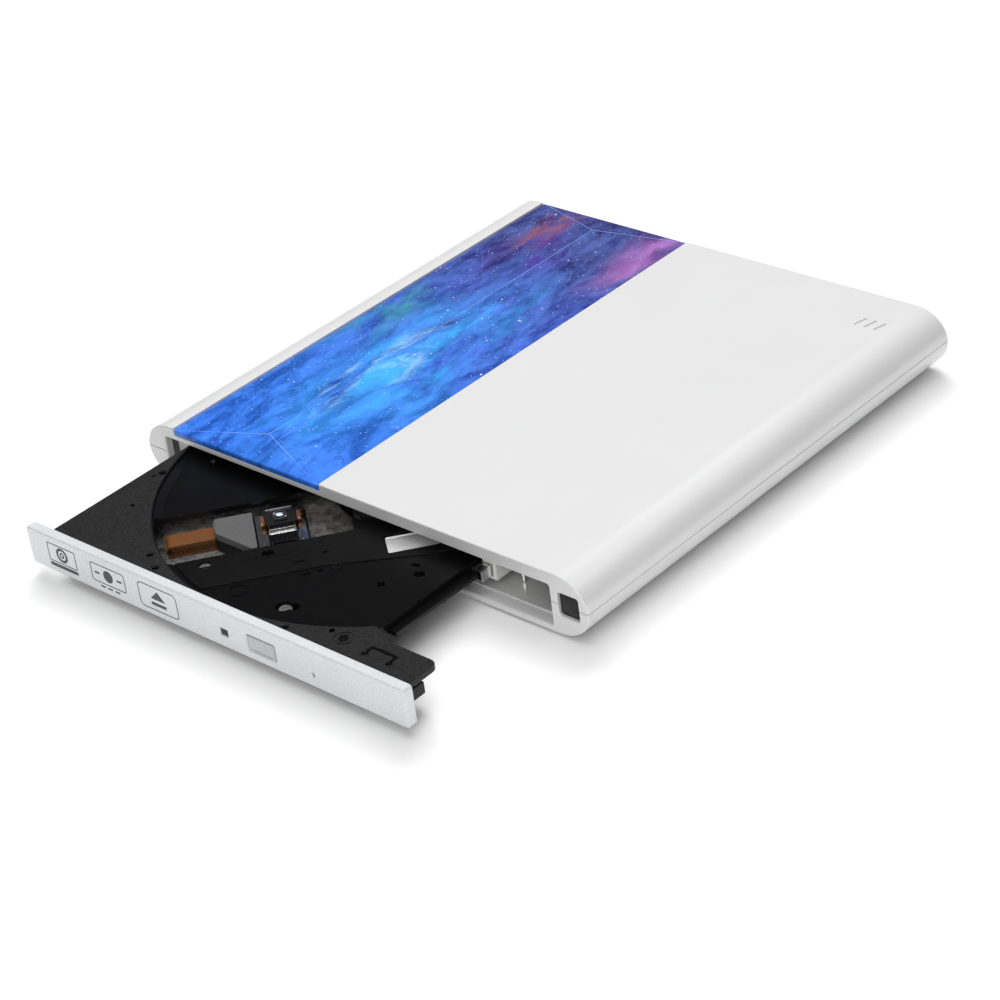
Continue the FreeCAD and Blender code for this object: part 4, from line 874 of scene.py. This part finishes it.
def make_inner_ledge():
    """A step across the chassis floor beside the tray, coloured dark grey as painted shade on its face in
    shadow, and a black wall nearly to the roof for the dark interior: partly the black board there, partly
    painted shade.
    """
    ledge = block((44.6, 61.7), (28.5, 31.0), (2.05, 4.6), corner=0.4, edge=0.2)
    # The dark grey finish, in place of the zinc slot's, is painted shade on a wall that faces the front in
    # shadow.
    piece("chassis_ledge_painted_shade", ledge, CASE, "case", "zinc_steel", finish="grey_metal")
    dark_wall = block((44.6, 61.7), (31.3, 32.6), (2.05, 11.6), corner=0.4, edge=0.2)
    # A black wall nearly to the roof: partly the dark board behind it, partly painted shade of the deep
    # interior.
    piece("black_board_and_shade_wall", dark_wall, CASE, "case", "black_plastic")


# ---------------------------------------------------------------- bezel

BEZEL_X, BEZEL_Z, BEZEL_DEEP = (-65.8, 62.0), (2.1, 12.6), 2.9
BUTTON_X, BUTTON_Z = (11.8, 20.8), (4.6, 8.9)
LAMP_X, LAMP_Z = (2.5, 5.1), (5.4, 7.4)
PINHOLE = (32.8, 5.5, 0.55)


def pin_tool(profile, segments):
    """A body of revolution laid along the depth, in line with the emergency pinhole."""
    return welded(moved(turned(profile, segments), spin(-90, "X"), shift(PINHOLE[0], 0, PINHOLE[1])))


def make_bezel():
    blank = plate([soft_box(BEZEL_X, BEZEL_Z, 1.0, 5)], 0, BEZEL_DEEP, edge=0.42, steps=3, facing=True)
    tools = [
        flared(*inset(BUTTON_X, BUTTON_Z, -0.15), 4, 0.16, 0.4), flared(LAMP_X, LAMP_Z, 4, 0.2, 0.15),
        pin_tool([(0, -1), (1.7, -1), (PINHOLE[2], 0.2), (PINHOLE[2], 4), (0, 4)], 32),
    ]
    piece("bezel_front", carve(blank, tools), TRAY, "tray_unit", "bezel_paint", ["bezel"])
    lens = block(LAMP_X, (0.3, BEZEL_DEEP), LAMP_Z, corner=0.15, edge=0.1, facing=True)
    piece("lamp_window_lens", lens, TRAY, "tray_unit", "smoke_lens", ["lamp_window"])
    cap = plate([soft_box(BUTTON_X, BUTTON_Z, 0.45, 4)], -0.2, 1.9, edge=0.22, steps=3, facing=True)
    hollow = soft_box(*inset(BUTTON_X, BUTTON_Z, 0.5), 0.4, 4)
    dish = plate([hollow], -1.0, 0.0, edge=0.18, steps=3, facing=True)
    stem = rod((16.3, 1.8, 6.75), (16.3, 3.4, 6.75), 0.9)
    piece("eject_button_cap", [carve(cap, [dish]), stem], TRAY, "button", "bezel_paint", ["eject_button"],
          finish="button_paint")


def printed(loops):
    return plate(loops, -0.03, 0.04, edge=0.01, steps=0, facing=True)


def frame_loops(x, z, corner, line):
    return [soft_box(x, z, corner, 5), soft_box(*inset(x, z, line), max(corner - line, 0.1), 5)]


def bar(x, z, corner, steps=6):
    return printed([soft_box(x, z, corner, steps)])


def make_bezel_marks():
    """Three generic printed signs: a disc, a record dot and an eject arrow, each in a frame of its own."""
    line, disc, dot, arrow = 0.28, (-53.3, 8.0), (-36.4, 7.7), (-18.6, 7.4)
    marks = [
        printed(frame_loops((disc[0] - 5.2, disc[0] + 5.2), (5.3, 10.6), 0.5, line)),
        printed([circle(*disc, 2.1), circle(*disc, 1.35)]),
        printed([circle(*disc, 0.85), circle(*disc, 0.4, 24)]),
        bar((disc[0] - 5.2, disc[0] + 5.2), (3.9, 4.9), 0.48, 5),
        printed(frame_loops((dot[0] - 6.2, dot[0] + 6.2), (5.0, 10.4), 0.9, line)),
        printed([circle(*dot, 1.7)]),
        bar((dot[0] - 4.9, dot[0] - 3.1), (dot[1] - 0.3, dot[1] + 0.3), 0.25),
        bar((dot[0] + 3.1, dot[0] + 4.9), (dot[1] - 0.3, dot[1] + 0.3), 0.25),
        printed(frame_loops((arrow[0] - 6.8, arrow[0] + 6.8), (3.9, 10.9), 1.6, line)),
        printed([rounded([(arrow[0] - 2.6, 7.2), (arrow[0] + 2.6, 7.2), (arrow[0], 9.7)], 0.2)]),
        bar((arrow[0] - 2.6, arrow[0] + 2.6), (5.4, 6.3), 0.2),
    ]
    for x in (-2.6, 0, 2.6):
        marks.append(bar((dot[0] + x - 0.9, dot[0] + x + 0.9), (3.9, 4.4), 0.2))
    piece("bezel_marks", marks, TRAY, "tray_unit", "bezel_paint", finish="mark_ink")


# ---------------------------------------------------------------- tray

TRAY_X, TRAY_Y = (-59.3, 37.8), (2.9, 130.0)
RIM_LEVEL, RECESS_FLOOR, LEDGE_LEVEL, DECK_UNDER = 11.9, 9.7, 10.5, 8.3
RECESS_RADIUS, LEDGE_WIDTH, HUB_HOLE = 62.0, 2.0, 16.5
DISC_X, DISC_DEPTH = 1.0, 65.0
SLED_IN_TRAY = TRAY.inverted() @ SLED


def hole_tool(x, y, radius, top, bottom=7.0, flare=0.18):
    """A drill with a flare that breaks the hole's edge."""
    return turned([
        (0, bottom), (radius, bottom), (radius, top - flare), (radius + flare, top),
        (radius + flare, top + 1), (0, top + 1),
    ], 32, x, y)


def ring_groove(x, y, radius, top, depth=0.2, width=0.25):
    return turned([
        (radius - width, top - depth), (radius + width, top - depth), (radius + width, top + 1),
        (radius - width, top + 1),
    ], 40, x, y)


def slot_tool(x, y, long, wide, top, bottom, turn=0.0):
    outline = soft_box((-long / 2, long / 2), (-wide / 2, wide / 2), wide * 0.45, 4)
    return moved(plate([outline], bottom, top + 1, edge=0.02), spin(turn), shift(x, y, 0))


def tray_solids():
    top = plate([soft_box(TRAY_X, TRAY_Y, 1.0)], DECK_UNDER, RIM_LEVEL, edge=0.25)
    ear = plate([rounded([
        (29.8, 2.9), (60.3, 2.9), (60.3, 13.0), (42.8, 13.0), (37.8, 17.0), (29.8, 17.0),
    ], 2.2, 8)], 10.0, RIM_LEVEL, edge=0.35, steps=3)
    outer, inner = soft_box(*inset(TRAY_X, TRAY_Y, 0.02), 1.0), soft_box(*inset(TRAY_X, TRAY_Y, 1.5), 0.6)
    skirt = plate([outer, inner], 4.9, 9.0, edge=0.2)
    tub = plate([
        soft_box((-53.5, 32.0), (2.92, 112.0), 1.5), soft_box((-52.3, 30.8), (4.4, 110.8), 1.0),
    ], 2.85, 9.0, edge=0.15)
    left = block((TRAY_X[0] - 2.5, TRAY_X[0] + 1.4), (20, 128), (6.8, 8.0), corner=0.5, edge=0.2)
    right = block((TRAY_X[1] - 1.4, TRAY_X[1] + 2.5), (20, 128), (6.8, 8.0), corner=0.5, edge=0.2)
    return carve(top, [ear, skirt, tub, left, right], "UNION")


def deck_tools():
    recess = turned([
        (0, RECESS_FLOOR), (RECESS_RADIUS - LEDGE_WIDTH - 0.2, RECESS_FLOOR),
        (RECESS_RADIUS - LEDGE_WIDTH, RECESS_FLOOR + 0.08), (RECESS_RADIUS - 0.25, LEDGE_LEVEL - 0.05),
        (RECESS_RADIUS, LEDGE_LEVEL + 0.15), (RECESS_RADIUS, RIM_LEVEL - 0.22),
        (RECESS_RADIUS + 0.22, RIM_LEVEL), (RECESS_RADIUS + 0.22, RIM_LEVEL + 2), (0, RIM_LEVEL + 2),
    ], 192, DISC_X, DISC_DEPTH)
    window = plate([rounded([(14, -7), (76, -7), (76, 2.4), (65.8, 15), (14, 15)], 0.8)], 7.3, 10.4, edge=0.1)
    motor = plate([soft_box((-5.2, 7.8), (20.2, 28.2), 0.6)], 7.3, 12.5, edge=0.1)
    hub = hole_tool(DISC_X, DISC_DEPTH, HUB_HOLE, RECESS_FLOOR, 7.3, 0.25)
    tools = [recess, moved(window, SLED_IN_TRAY), moved(motor, SLED_IN_TRAY), hub]
    for x, y, radius in ((-16.8, 14.2, 1.6), (-7.1, 26.0, 1.6), (30.2, 39.1, 1.3), (15.3, 36.7, 0.6),
                         (8.6, 27.8, 0.6)):
        tools.append(hole_tool(x, y, radius, RECESS_FLOOR))
    for x, y, radius in ((-55.4, 36.4, 1.0), (-56.2, 34.1, 0.6), (-50.4, 21.7, 0.6), (-29.5, 8.4, 0.9),
                         (-24.1, 5.2, 0.9), (-17.0, 4.6, 0.6), (6.2, 4.4, 0.6), (20.9, 4.4, 0.8)):
        tools.append(hole_tool(x, y, radius, RIM_LEVEL, 10.6))
    tools += [
        hole_tool(12.0, 12.2, 2.0, RIM_LEVEL), hole_tool(14.4, 13.4, 1.4, RIM_LEVEL),
        slot_tool(25.4, 31.1, 2.6, 0.7, RECESS_FLOOR, 7.5),
        slot_tool(25.4, 31.1, 2.6, 0.7, RECESS_FLOOR, 7.5, 90),
        slot_tool(27.0, 41.4, 2.4, 1.0, RECESS_FLOOR, 7.5, 10),
        slot_tool(7.0, 24.7, 2.4, 0.6, RECESS_FLOOR, 7.5, 50),
        ring_groove(-1.8, 11.0, 2.2, RECESS_FLOOR), ring_groove(35.8, 8.2, 2.3, RIM_LEVEL),
        slot_tool(47.6, 9.2, 8.2, 0.9, RIM_LEVEL, 11.1), slot_tool(43.9, 8.0, 3.2, 0.9, RIM_LEVEL, 11.1, 90),
        slot_tool(51.3, 8.0, 3.2, 0.9, RIM_LEVEL, 11.1, 90), hole_tool(43.9, 6.6, 0.8, RIM_LEVEL, 11.1),
        hole_tool(51.3, 6.6, 0.8, RIM_LEVEL, 11.1), slot_tool(20.5, 44.0, 9.0, 0.5, RECESS_FLOOR, 9.4, 51),
    ]
    gap = block((1.6, 21.8), (1.9, 4.5), (4.2, 9.4), corner=0.2, edge=0.05)
    for depth in (30, 52, 74):
        tools.append(block((37.4, 38.4), (depth, depth + 1.2), (9.2, 12.4), corner=0.1, edge=0.05))
    return tools + [gap, pin_tool([(0, 1), (0.6, 1), (0.6, 5), (0, 5)], 24)]


def make_tray():
    pins = [
        turned([(0, 11.7), (0.9, 11.7), (0.9, 11.86), (0.7, 11.9), (0, 11.9)], 24, 31.3, 9.0),
        turned([(0, 9.6), (0.8, 9.6), (0.8, 11.2), (0.55, 11.5), (0, 11.5)], 24, -48.8, 47.7),
    ]
    body = carve(tray_solids(), deck_tools())
    piece("tray_moulding", [body] + pins, TRAY, "tray_unit", "tray_plastic", ["tray"])


def make_deck_plugs():
    """Light heads that fill one hole in the deck and show through another."""
    small = [(0, 8.4), (1.5, 8.4), (1.5, 9.35), (1.3, 9.5), (0.5, 9.5), (0.4, 9.4), (0, 9.4)]
    large = [(0, 8.0), (1.7, 8.0), (1.7, 8.8), (1.5, 9.0), (0.6, 9.0), (0.5, 8.85), (0, 8.85)]
    heads = [turned(small, 40, -16.8, 14.2), turned(large, 40, 12.2, 12.4)]
    piece("deck_plugs", heads, TRAY, "tray_unit", "white_plastic", finish="grey_metal")


def make_tray_pan():
    pan = plate([
        soft_box((-53.5, 32.0), (2.9, 112.0), 1.5), circle(1, 65, 7), circle(-40, 20, 1.6, 24),
        circle(22, 20, 1.6, 24), circle(-40, 100, 1.6, 24), circle(22, 100, 1.6, 24),
    ], 2.4, 2.85, edge=0.1)
    ribs = []
    for depth in (32, 48, 86, 100):
        ribs.append(block((-44, 22), (depth, depth + 3), (2.85, 3.1), corner=1.2, edge=0.1))
    piece("tray_pan_pressed", [pan] + ribs, TRAY, "tray_unit", "zinc_steel", ["tray_pan"])


def make_cover():
    outline = [
        (60, 15), (60, 28), (22, 28), (-2, 31.6), (-14, 31.6), (-24, 18), (-24, -20), (8, -20), (8, -7),
        (14, -7), (14, 15),
    ]
    blank = plate([
        rounded(outline, 1.0), circle(0, 0, HUB_HOLE, 72), circle(50.7, 18.2, 1.6), circle(35.4, 18.3, 1.6),
        soft_box((-5.2, 7.8), (20.2, 28.2), 0.8), circle(22.0, 22.5, 0.7, 20),
        soft_box((27.2, 29.8), (24.0, 24.8), 0.35, 4),
    ], RECESS_FLOOR, RECESS_FLOOR + 0.3, edge=0.08)
    bound = turned([(0, 9), (59.6, 9), (59.6, 11), (0, 11)], 160)
    step = plate([rounded([(16, 19.2), (56, 19.2), (56, 19.7), (16, 19.7)], 0.2)], 9.95, 10.12, edge=0.05)
    cover = carve(blank, [bound], "INTERSECT")
    piece("traverse_cover_sheet", [cover, step], SLED, "tray_unit", "black_steel", ["traverse_cover"])


def make_tray_screws():
    heads = [
        cross_head(11.3, 30.8, RECESS_FLOOR, RECESS_FLOOR + 0.4, 1.2),
        cross_head(35.8, 8.2, RIM_LEVEL, RIM_LEVEL + 0.34, 1.2),
    ]
    piece("tray_screws_crossed", heads, TRAY, "tray_unit", slot_of("tray_screws"), ["tray_screws"],
          finish="black_steel")


# ---------------------------------------------------------------- traverse and pickup, in the sled's frame


def box_in(u, v, z, corner=0.25, edge=0.1):
    return block(u, v, z, corner=corner, edge=edge)


# The level of the guide rods and of the sled motor's axle, and how far across that axle lies.
AXLE, MOTOR_ACROSS = 6.4, 23.5


def make_rods():
    for name, across, start, end in (
        ("guide_rod_main", 18.5, 12.0, 61.5),
        ("guide_rod_side", -12.5, 15.0, 63.0),
    ):
        shaft = rod((start, across, AXLE), (end, across, AXLE), 1.0, chamfer=0.2, segments=40)
        piece(name + "_ground", shaft, SLED, "tray_unit", "bright_steel", [name])


def make_lead_screw():
    """A three-start thread, as the 3 mm of travel per turn asks."""
    start, end, outer, root, starts, pitch = 7.8, 55.9, 1.15, 0.86, 3, 1.0
    around, rows = 24, 420
    bm = bmesh.new()
    rings = []
    for row in range(rows + 1):
        along = start + (end - start) * row / rows
        ring = []
        for k in range(around):
            turn = 2 * math.pi * k / around
            phase = (along / pitch - starts * k / around) % 1.0
            ridge = min(1.0, max(0.0, 3.2 * (0.5 - abs(phase - 0.5)) - 0.3))
            radius = root + (outer - root) * ridge
            if row in (0, rows):
                radius = root * 0.9
            across, level = MOTOR_ACROSS + radius * math.cos(turn), AXLE + radius * math.sin(turn)
            ring.append(bm.verts.new((along, across, level)))
        rings.append(ring)
    bridge(bm, rings)
    bm.faces.new(rings[0])
    bm.faces.new(rings[-1])
    thread = mesh_from(bm, "thread")
    ends = []
    for low, high in ((2.4, 8.0), (55.5, 57.3)):
        ends.append(rod((low, MOTOR_ACROSS, AXLE), (high, MOTOR_ACROSS, AXLE), 0.6))
    piece("lead_screw_threaded", [thread] + ends, SLED, "sled_screw", "bright_steel", ["lead_screw"],
          angle=60)


def make_sled_motor():
    can = turned([
        (0.65, -4.4), (1.2, -4.4), (1.2, -4.6), (2.2, -4.6), (2.45, -4.35), (2.45, 5.9), (2.3, 6.05),
        (2.3, 6.2), (2.45, 6.3), (2.45, 6.7), (2.3, 6.9), (0.65, 6.9),
    ], 56)
    moved(can, spin(90, "Y"), shift(0, MOTOR_ACROSS, AXLE))
    piece("sled_motor_can", can, SLED, "tray_unit", "bright_steel", ["sled_motor"])
    hem = rod((-4.6, 20.8, 9.45), (7.3, 20.8, 9.45), 0.28)
    piece("motor_bracket_hem", hem, SLED, "tray_unit", "bright_steel", finish="bright_paint")


def make_pickup():
    outline = rounded([(37.6, -3.6), (47.0, -3.6), (47.0, 3.2), (39.1, 12.9), (37.6, 12.9)], 0.45)
    inner = rounded([(38.3, -2.9), (46.3, -2.9), (46.3, 2.9), (38.8, 11.6), (38.3, 11.6)], 0.3)
    lid = plate([outline], 8.55, 8.82, edge=0.1)
    flange = plate([outline, inner], 8.7, 8.9, edge=0.08)
    inside = rounded([(37.9, -3.3), (46.7, -3.3), (46.7, 3.1), (39.0, 12.6), (37.9, 12.6)], 0.3)
    walls = plate([outline, inside], 7.0, 8.7, edge=0.05)
    fold = box_in((47.02, 47.3), (-2.6, 2.4), (7.2, 8.85), 0.1, 0.08)
    piece("pickup_shield_folded", [carve(lid, [flange, walls], "UNION"), fold], SLED, "pickup", "grey_metal",
          ["pickup_shield"])
    clips = []
    for v in (-5.3, -4.3, 0.5, 3.6):
        clips.append(box_in((44.6, 46.4), (v, v + 0.8), (5.0, 7.0), 0.15, 0.08))
    piece("pickup_clips", clips, SLED, "pickup", "black_plastic")


def make_actuator():
    floor = plate([
        soft_box((25, 37.2), (-3.9, 12.6), 0.6), soft_box((29, 32.8), (-1.6, 1.6), 0.5),
    ], 7.0, 7.4, edge=0.08)
    walls = [
        box_in((27.5, 34.3), (-3.9, -3.4), (7.0, 8.8)), box_in((27.5, 34.3), (5.2, 5.8), (7.0, 8.6)),
        box_in((35.4, 36.2), (7.2, 12.0), (7.0, 8.4)), box_in((26.0, 26.8), (7.2, 12.0), (7.0, 8.4)),
    ]
    yoke = carve(floor, walls, "UNION")
    piece("actuator_yoke_bent", yoke, SLED, "pickup", "bright_steel", ["actuator_yoke"])
    mass = box_in((27.4, 34.6), (8.4, 12.2), (7.4, 8.9), 0.5, 0.2)
    piece("suspension_block_moulded", mass, SLED, "pickup", "black_plastic", ["suspension_block"])
    wires = []
    for u in (27.9, 34.0):
        for z in (8.1, 8.75):
            wires.append(rod((u, 3.2, z), (u, 12.9, z), 0.06, chamfer=0.01, segments=8))
    springs = piece("suspension_wires", wires, SLED, None, "copper")
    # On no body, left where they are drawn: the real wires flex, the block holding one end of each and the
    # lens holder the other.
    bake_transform(springs)
    board = plate([soft_box((25.4, 37.0), (12.7, 14.4), 0.3)], 8.0, 8.35, edge=0.05)
    piece("pickup_board_strip", board, SLED, "pickup", "board_green", ["pickup_board"])
    dot = [(0, 8.3), (0.36, 8.3), (0.3, 8.45), (0.14, 8.52), (0, 8.52)]
    dots = [turned(dot, 16, 26.4 + 1.6 * k, 13.55) for k in range(7)]
    piece("pickup_solder", dots, SLED, "pickup", "bright_steel")


def make_lens():
    reach = 30.9
    top = plate([
        soft_box((reach - 4, reach + 4), (-2.2, 4.0), 0.9), circle(reach, 0, 1.95, 40),
        soft_box((reach - 1.6, reach + 1.6), (2.5, 3.4), 0.3),
    ], 8.5, 9.1, edge=0.12)
    waist = plate([
        soft_box((reach - 2.4, reach + 2.4), (-2.2, 4.0), 0.5), circle(reach, 0, 1.55, 40),
    ], 7.9, 8.55, edge=0.08)
    piece("lens_holder_moulded", [top, waist], SLED, "lens", "chip_black", ["lens_holder"])
    bezel_ring = turned([(1.52, 8.55), (1.93, 8.55), (1.93, 9.0), (1.75, 9.12), (1.52, 9.02)], 48, reach, 0)
    piece("lens_ring", bezel_ring, SLED, "lens", "bright_steel")
    dome = [(0, 8.3), (1.5, 8.3), (1.5, 8.95)]
    for k in range(9):
        a = math.radians(10 + 80 * k / 8)
        dome.append((1.42 * math.cos(a), 8.95 + 0.5 * math.sin(a)))
    dome[-1] = (0, dome[-1][1])
    piece("objective_lens_domed", turned(dome, 48, reach, 0), SLED, "lens", "optic_glass", ["objective_lens"])
    coils = []
    for low, high in ((-5.0, -4.0), (4.0, 5.0)):
        ring = plate([
            soft_box((-0.6, 2.6), (7.9, 9.1), 0.35, 4), soft_box((0.1, 1.9), (8.3, 8.7), 0.15, 3),
        ], low, high, edge=0.12)
        # Drawn in the v and z plane: local X to v, local Y to z, local Z to u.
        ring.transform(Matrix(((0, 0, 1, reach), (1, 0, 0, 0), (0, 1, 0, 0), (0, 0, 0, 1))))
        coils.append(ring)
    piece("focus_coils_wound", coils, SLED, "lens", "copper", ["focus_coils"])


def make_turntable():
    rotor = turned([
        (0, 4.2), (1.0, 4.2), (1.0, 8.2), (10.9, 8.2), (10.9, 5.1), (11.1, 5.0), (11.8, 5.0), (12.0, 5.2),
        (12.0, 8.9), (12.1, 9.0), (14.3, 9.0), (14.6, 9.25), (14.6, 9.8), (14.4, 10.0), (11.3, 10.0),
        (11.3, 9.75), (10.6, 9.75), (10.6, 10.0), (7.7, 10.0), (7.45, 10.2), (7.45, 11.95), (7.25, 12.15),
        (6.65, 12.4), (4.4, 12.4), (4.1, 12.1), (2.0, 12.1), (1.7, 12.3), (0, 12.3),
    ], 96)
    tools = []
    for index in range(3):
        slot = block((2.85, 9.0), (-1.3, 1.3), (11.15, 13.5), corner=0.15, edge=0.05)
        tools.append(moved(slot, spin(120 * index + 30)))
    piece("turntable_rotor", carve(rotor, tools), HUB, "spindle", slot_of("turntable"), ["turntable"])
    ring = turned([(11.4, 10.0), (14.4, 10.0), (14.4, 10.45), (14.2, 10.6), (11.6, 10.6), (11.4, 10.45)], 96)
    piece("turntable_ring_soft", ring, HUB, "spindle", "rubber", ["turntable_ring"])


def slot_of(node):
    return next(p["material_slot"] for p in frame["record"]["subparts"] if p["node"] == node)


# ---------------------------------------------------------------- ribbons


def bend(run, low, high, outward, steps=10):
    """A half turn of strip that joins a low run to a high one at the given place."""
    middle, radius = (low + high) / 2, (high - low) / 2
    points = []
    for k in range(steps + 1):
        a = math.pi * k / steps
        points.append((run + outward * radius * math.sin(a), middle - radius * math.cos(a)))
    return points


def make_pickup_ribbon():
    line = [(40.0, 4.13)] + bend(58.1, 4.13, 7.08, 1) + [(47.3, 7.08)]
    mesh = strip(line, (-3.0, 2.8), 0.12)
    ribbon = piece("pickup_ribbon_film", mesh, SLED, None, "amber_film", ["pickup_ribbon"], angle=60)
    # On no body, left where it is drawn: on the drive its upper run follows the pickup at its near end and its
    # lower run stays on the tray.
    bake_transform(ribbon)


def make_tray_ribbon():
    line = [(56.0, 2.28)] + bend(99.9, 2.28, 4.38, 1) + [(70.0, 4.38)]
    # Drawn with its run along X: turned so that the run goes along the depth.
    mesh = strip(line, (-36.0, -33.2), 0.12)
    mesh.transform(Matrix(((0, -1, 0, 0), (1, 0, 0, 0), (0, 0, 1, 0), (0, 0, 0, 1))))
    ribbon = piece("tray_ribbon_film", mesh, CASE, None, "amber_film", ["tray_ribbon"], angle=60,
                   finish="amber_film_straight")
    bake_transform(ribbon)


# ---------------------------------------------------------------- carried-over nodes and assembly


FINISHES = {
    "chassis": "bright_paint", "motor_bracket": "bright_paint", "solenoid": "black_steel",
    "latch_lever": "black_steel", "rail_left": "bright_sheet", "rail_right": "bright_sheet",
}


def dress_cad_nodes():
    """Each CAD node that still shows gets its slot's material and a small round on each edge."""
    for name, obj in frame["nodes"].items():
        if obj.hide_render:
            continue
        obj.data.materials.clear()
        obj.data.materials.append(MATERIALS[FINISHES.get(name, slot_of(name))])
        weld = obj.modifiers.new("weld", "WELD")
        weld.merge_threshold = 0.002 * MM
        bevelled(obj, 0.09, 35)


make_camera()
make_floor()
make_lights()
make_top_shell()
make_bottom_shell()
make_facet_panel()
make_end_plug()
make_case_fittings()
make_inner_ledge()
make_bezel()
make_bezel_marks()
make_tray()
make_deck_plugs()
make_tray_pan()
make_cover()
make_tray_screws()
make_rods()
make_lead_screw()
make_sled_motor()
make_pickup()
make_actuator()
make_lens()
make_turntable()
make_pickup_ribbon()
make_tray_ribbon()
dress_cad_nodes()
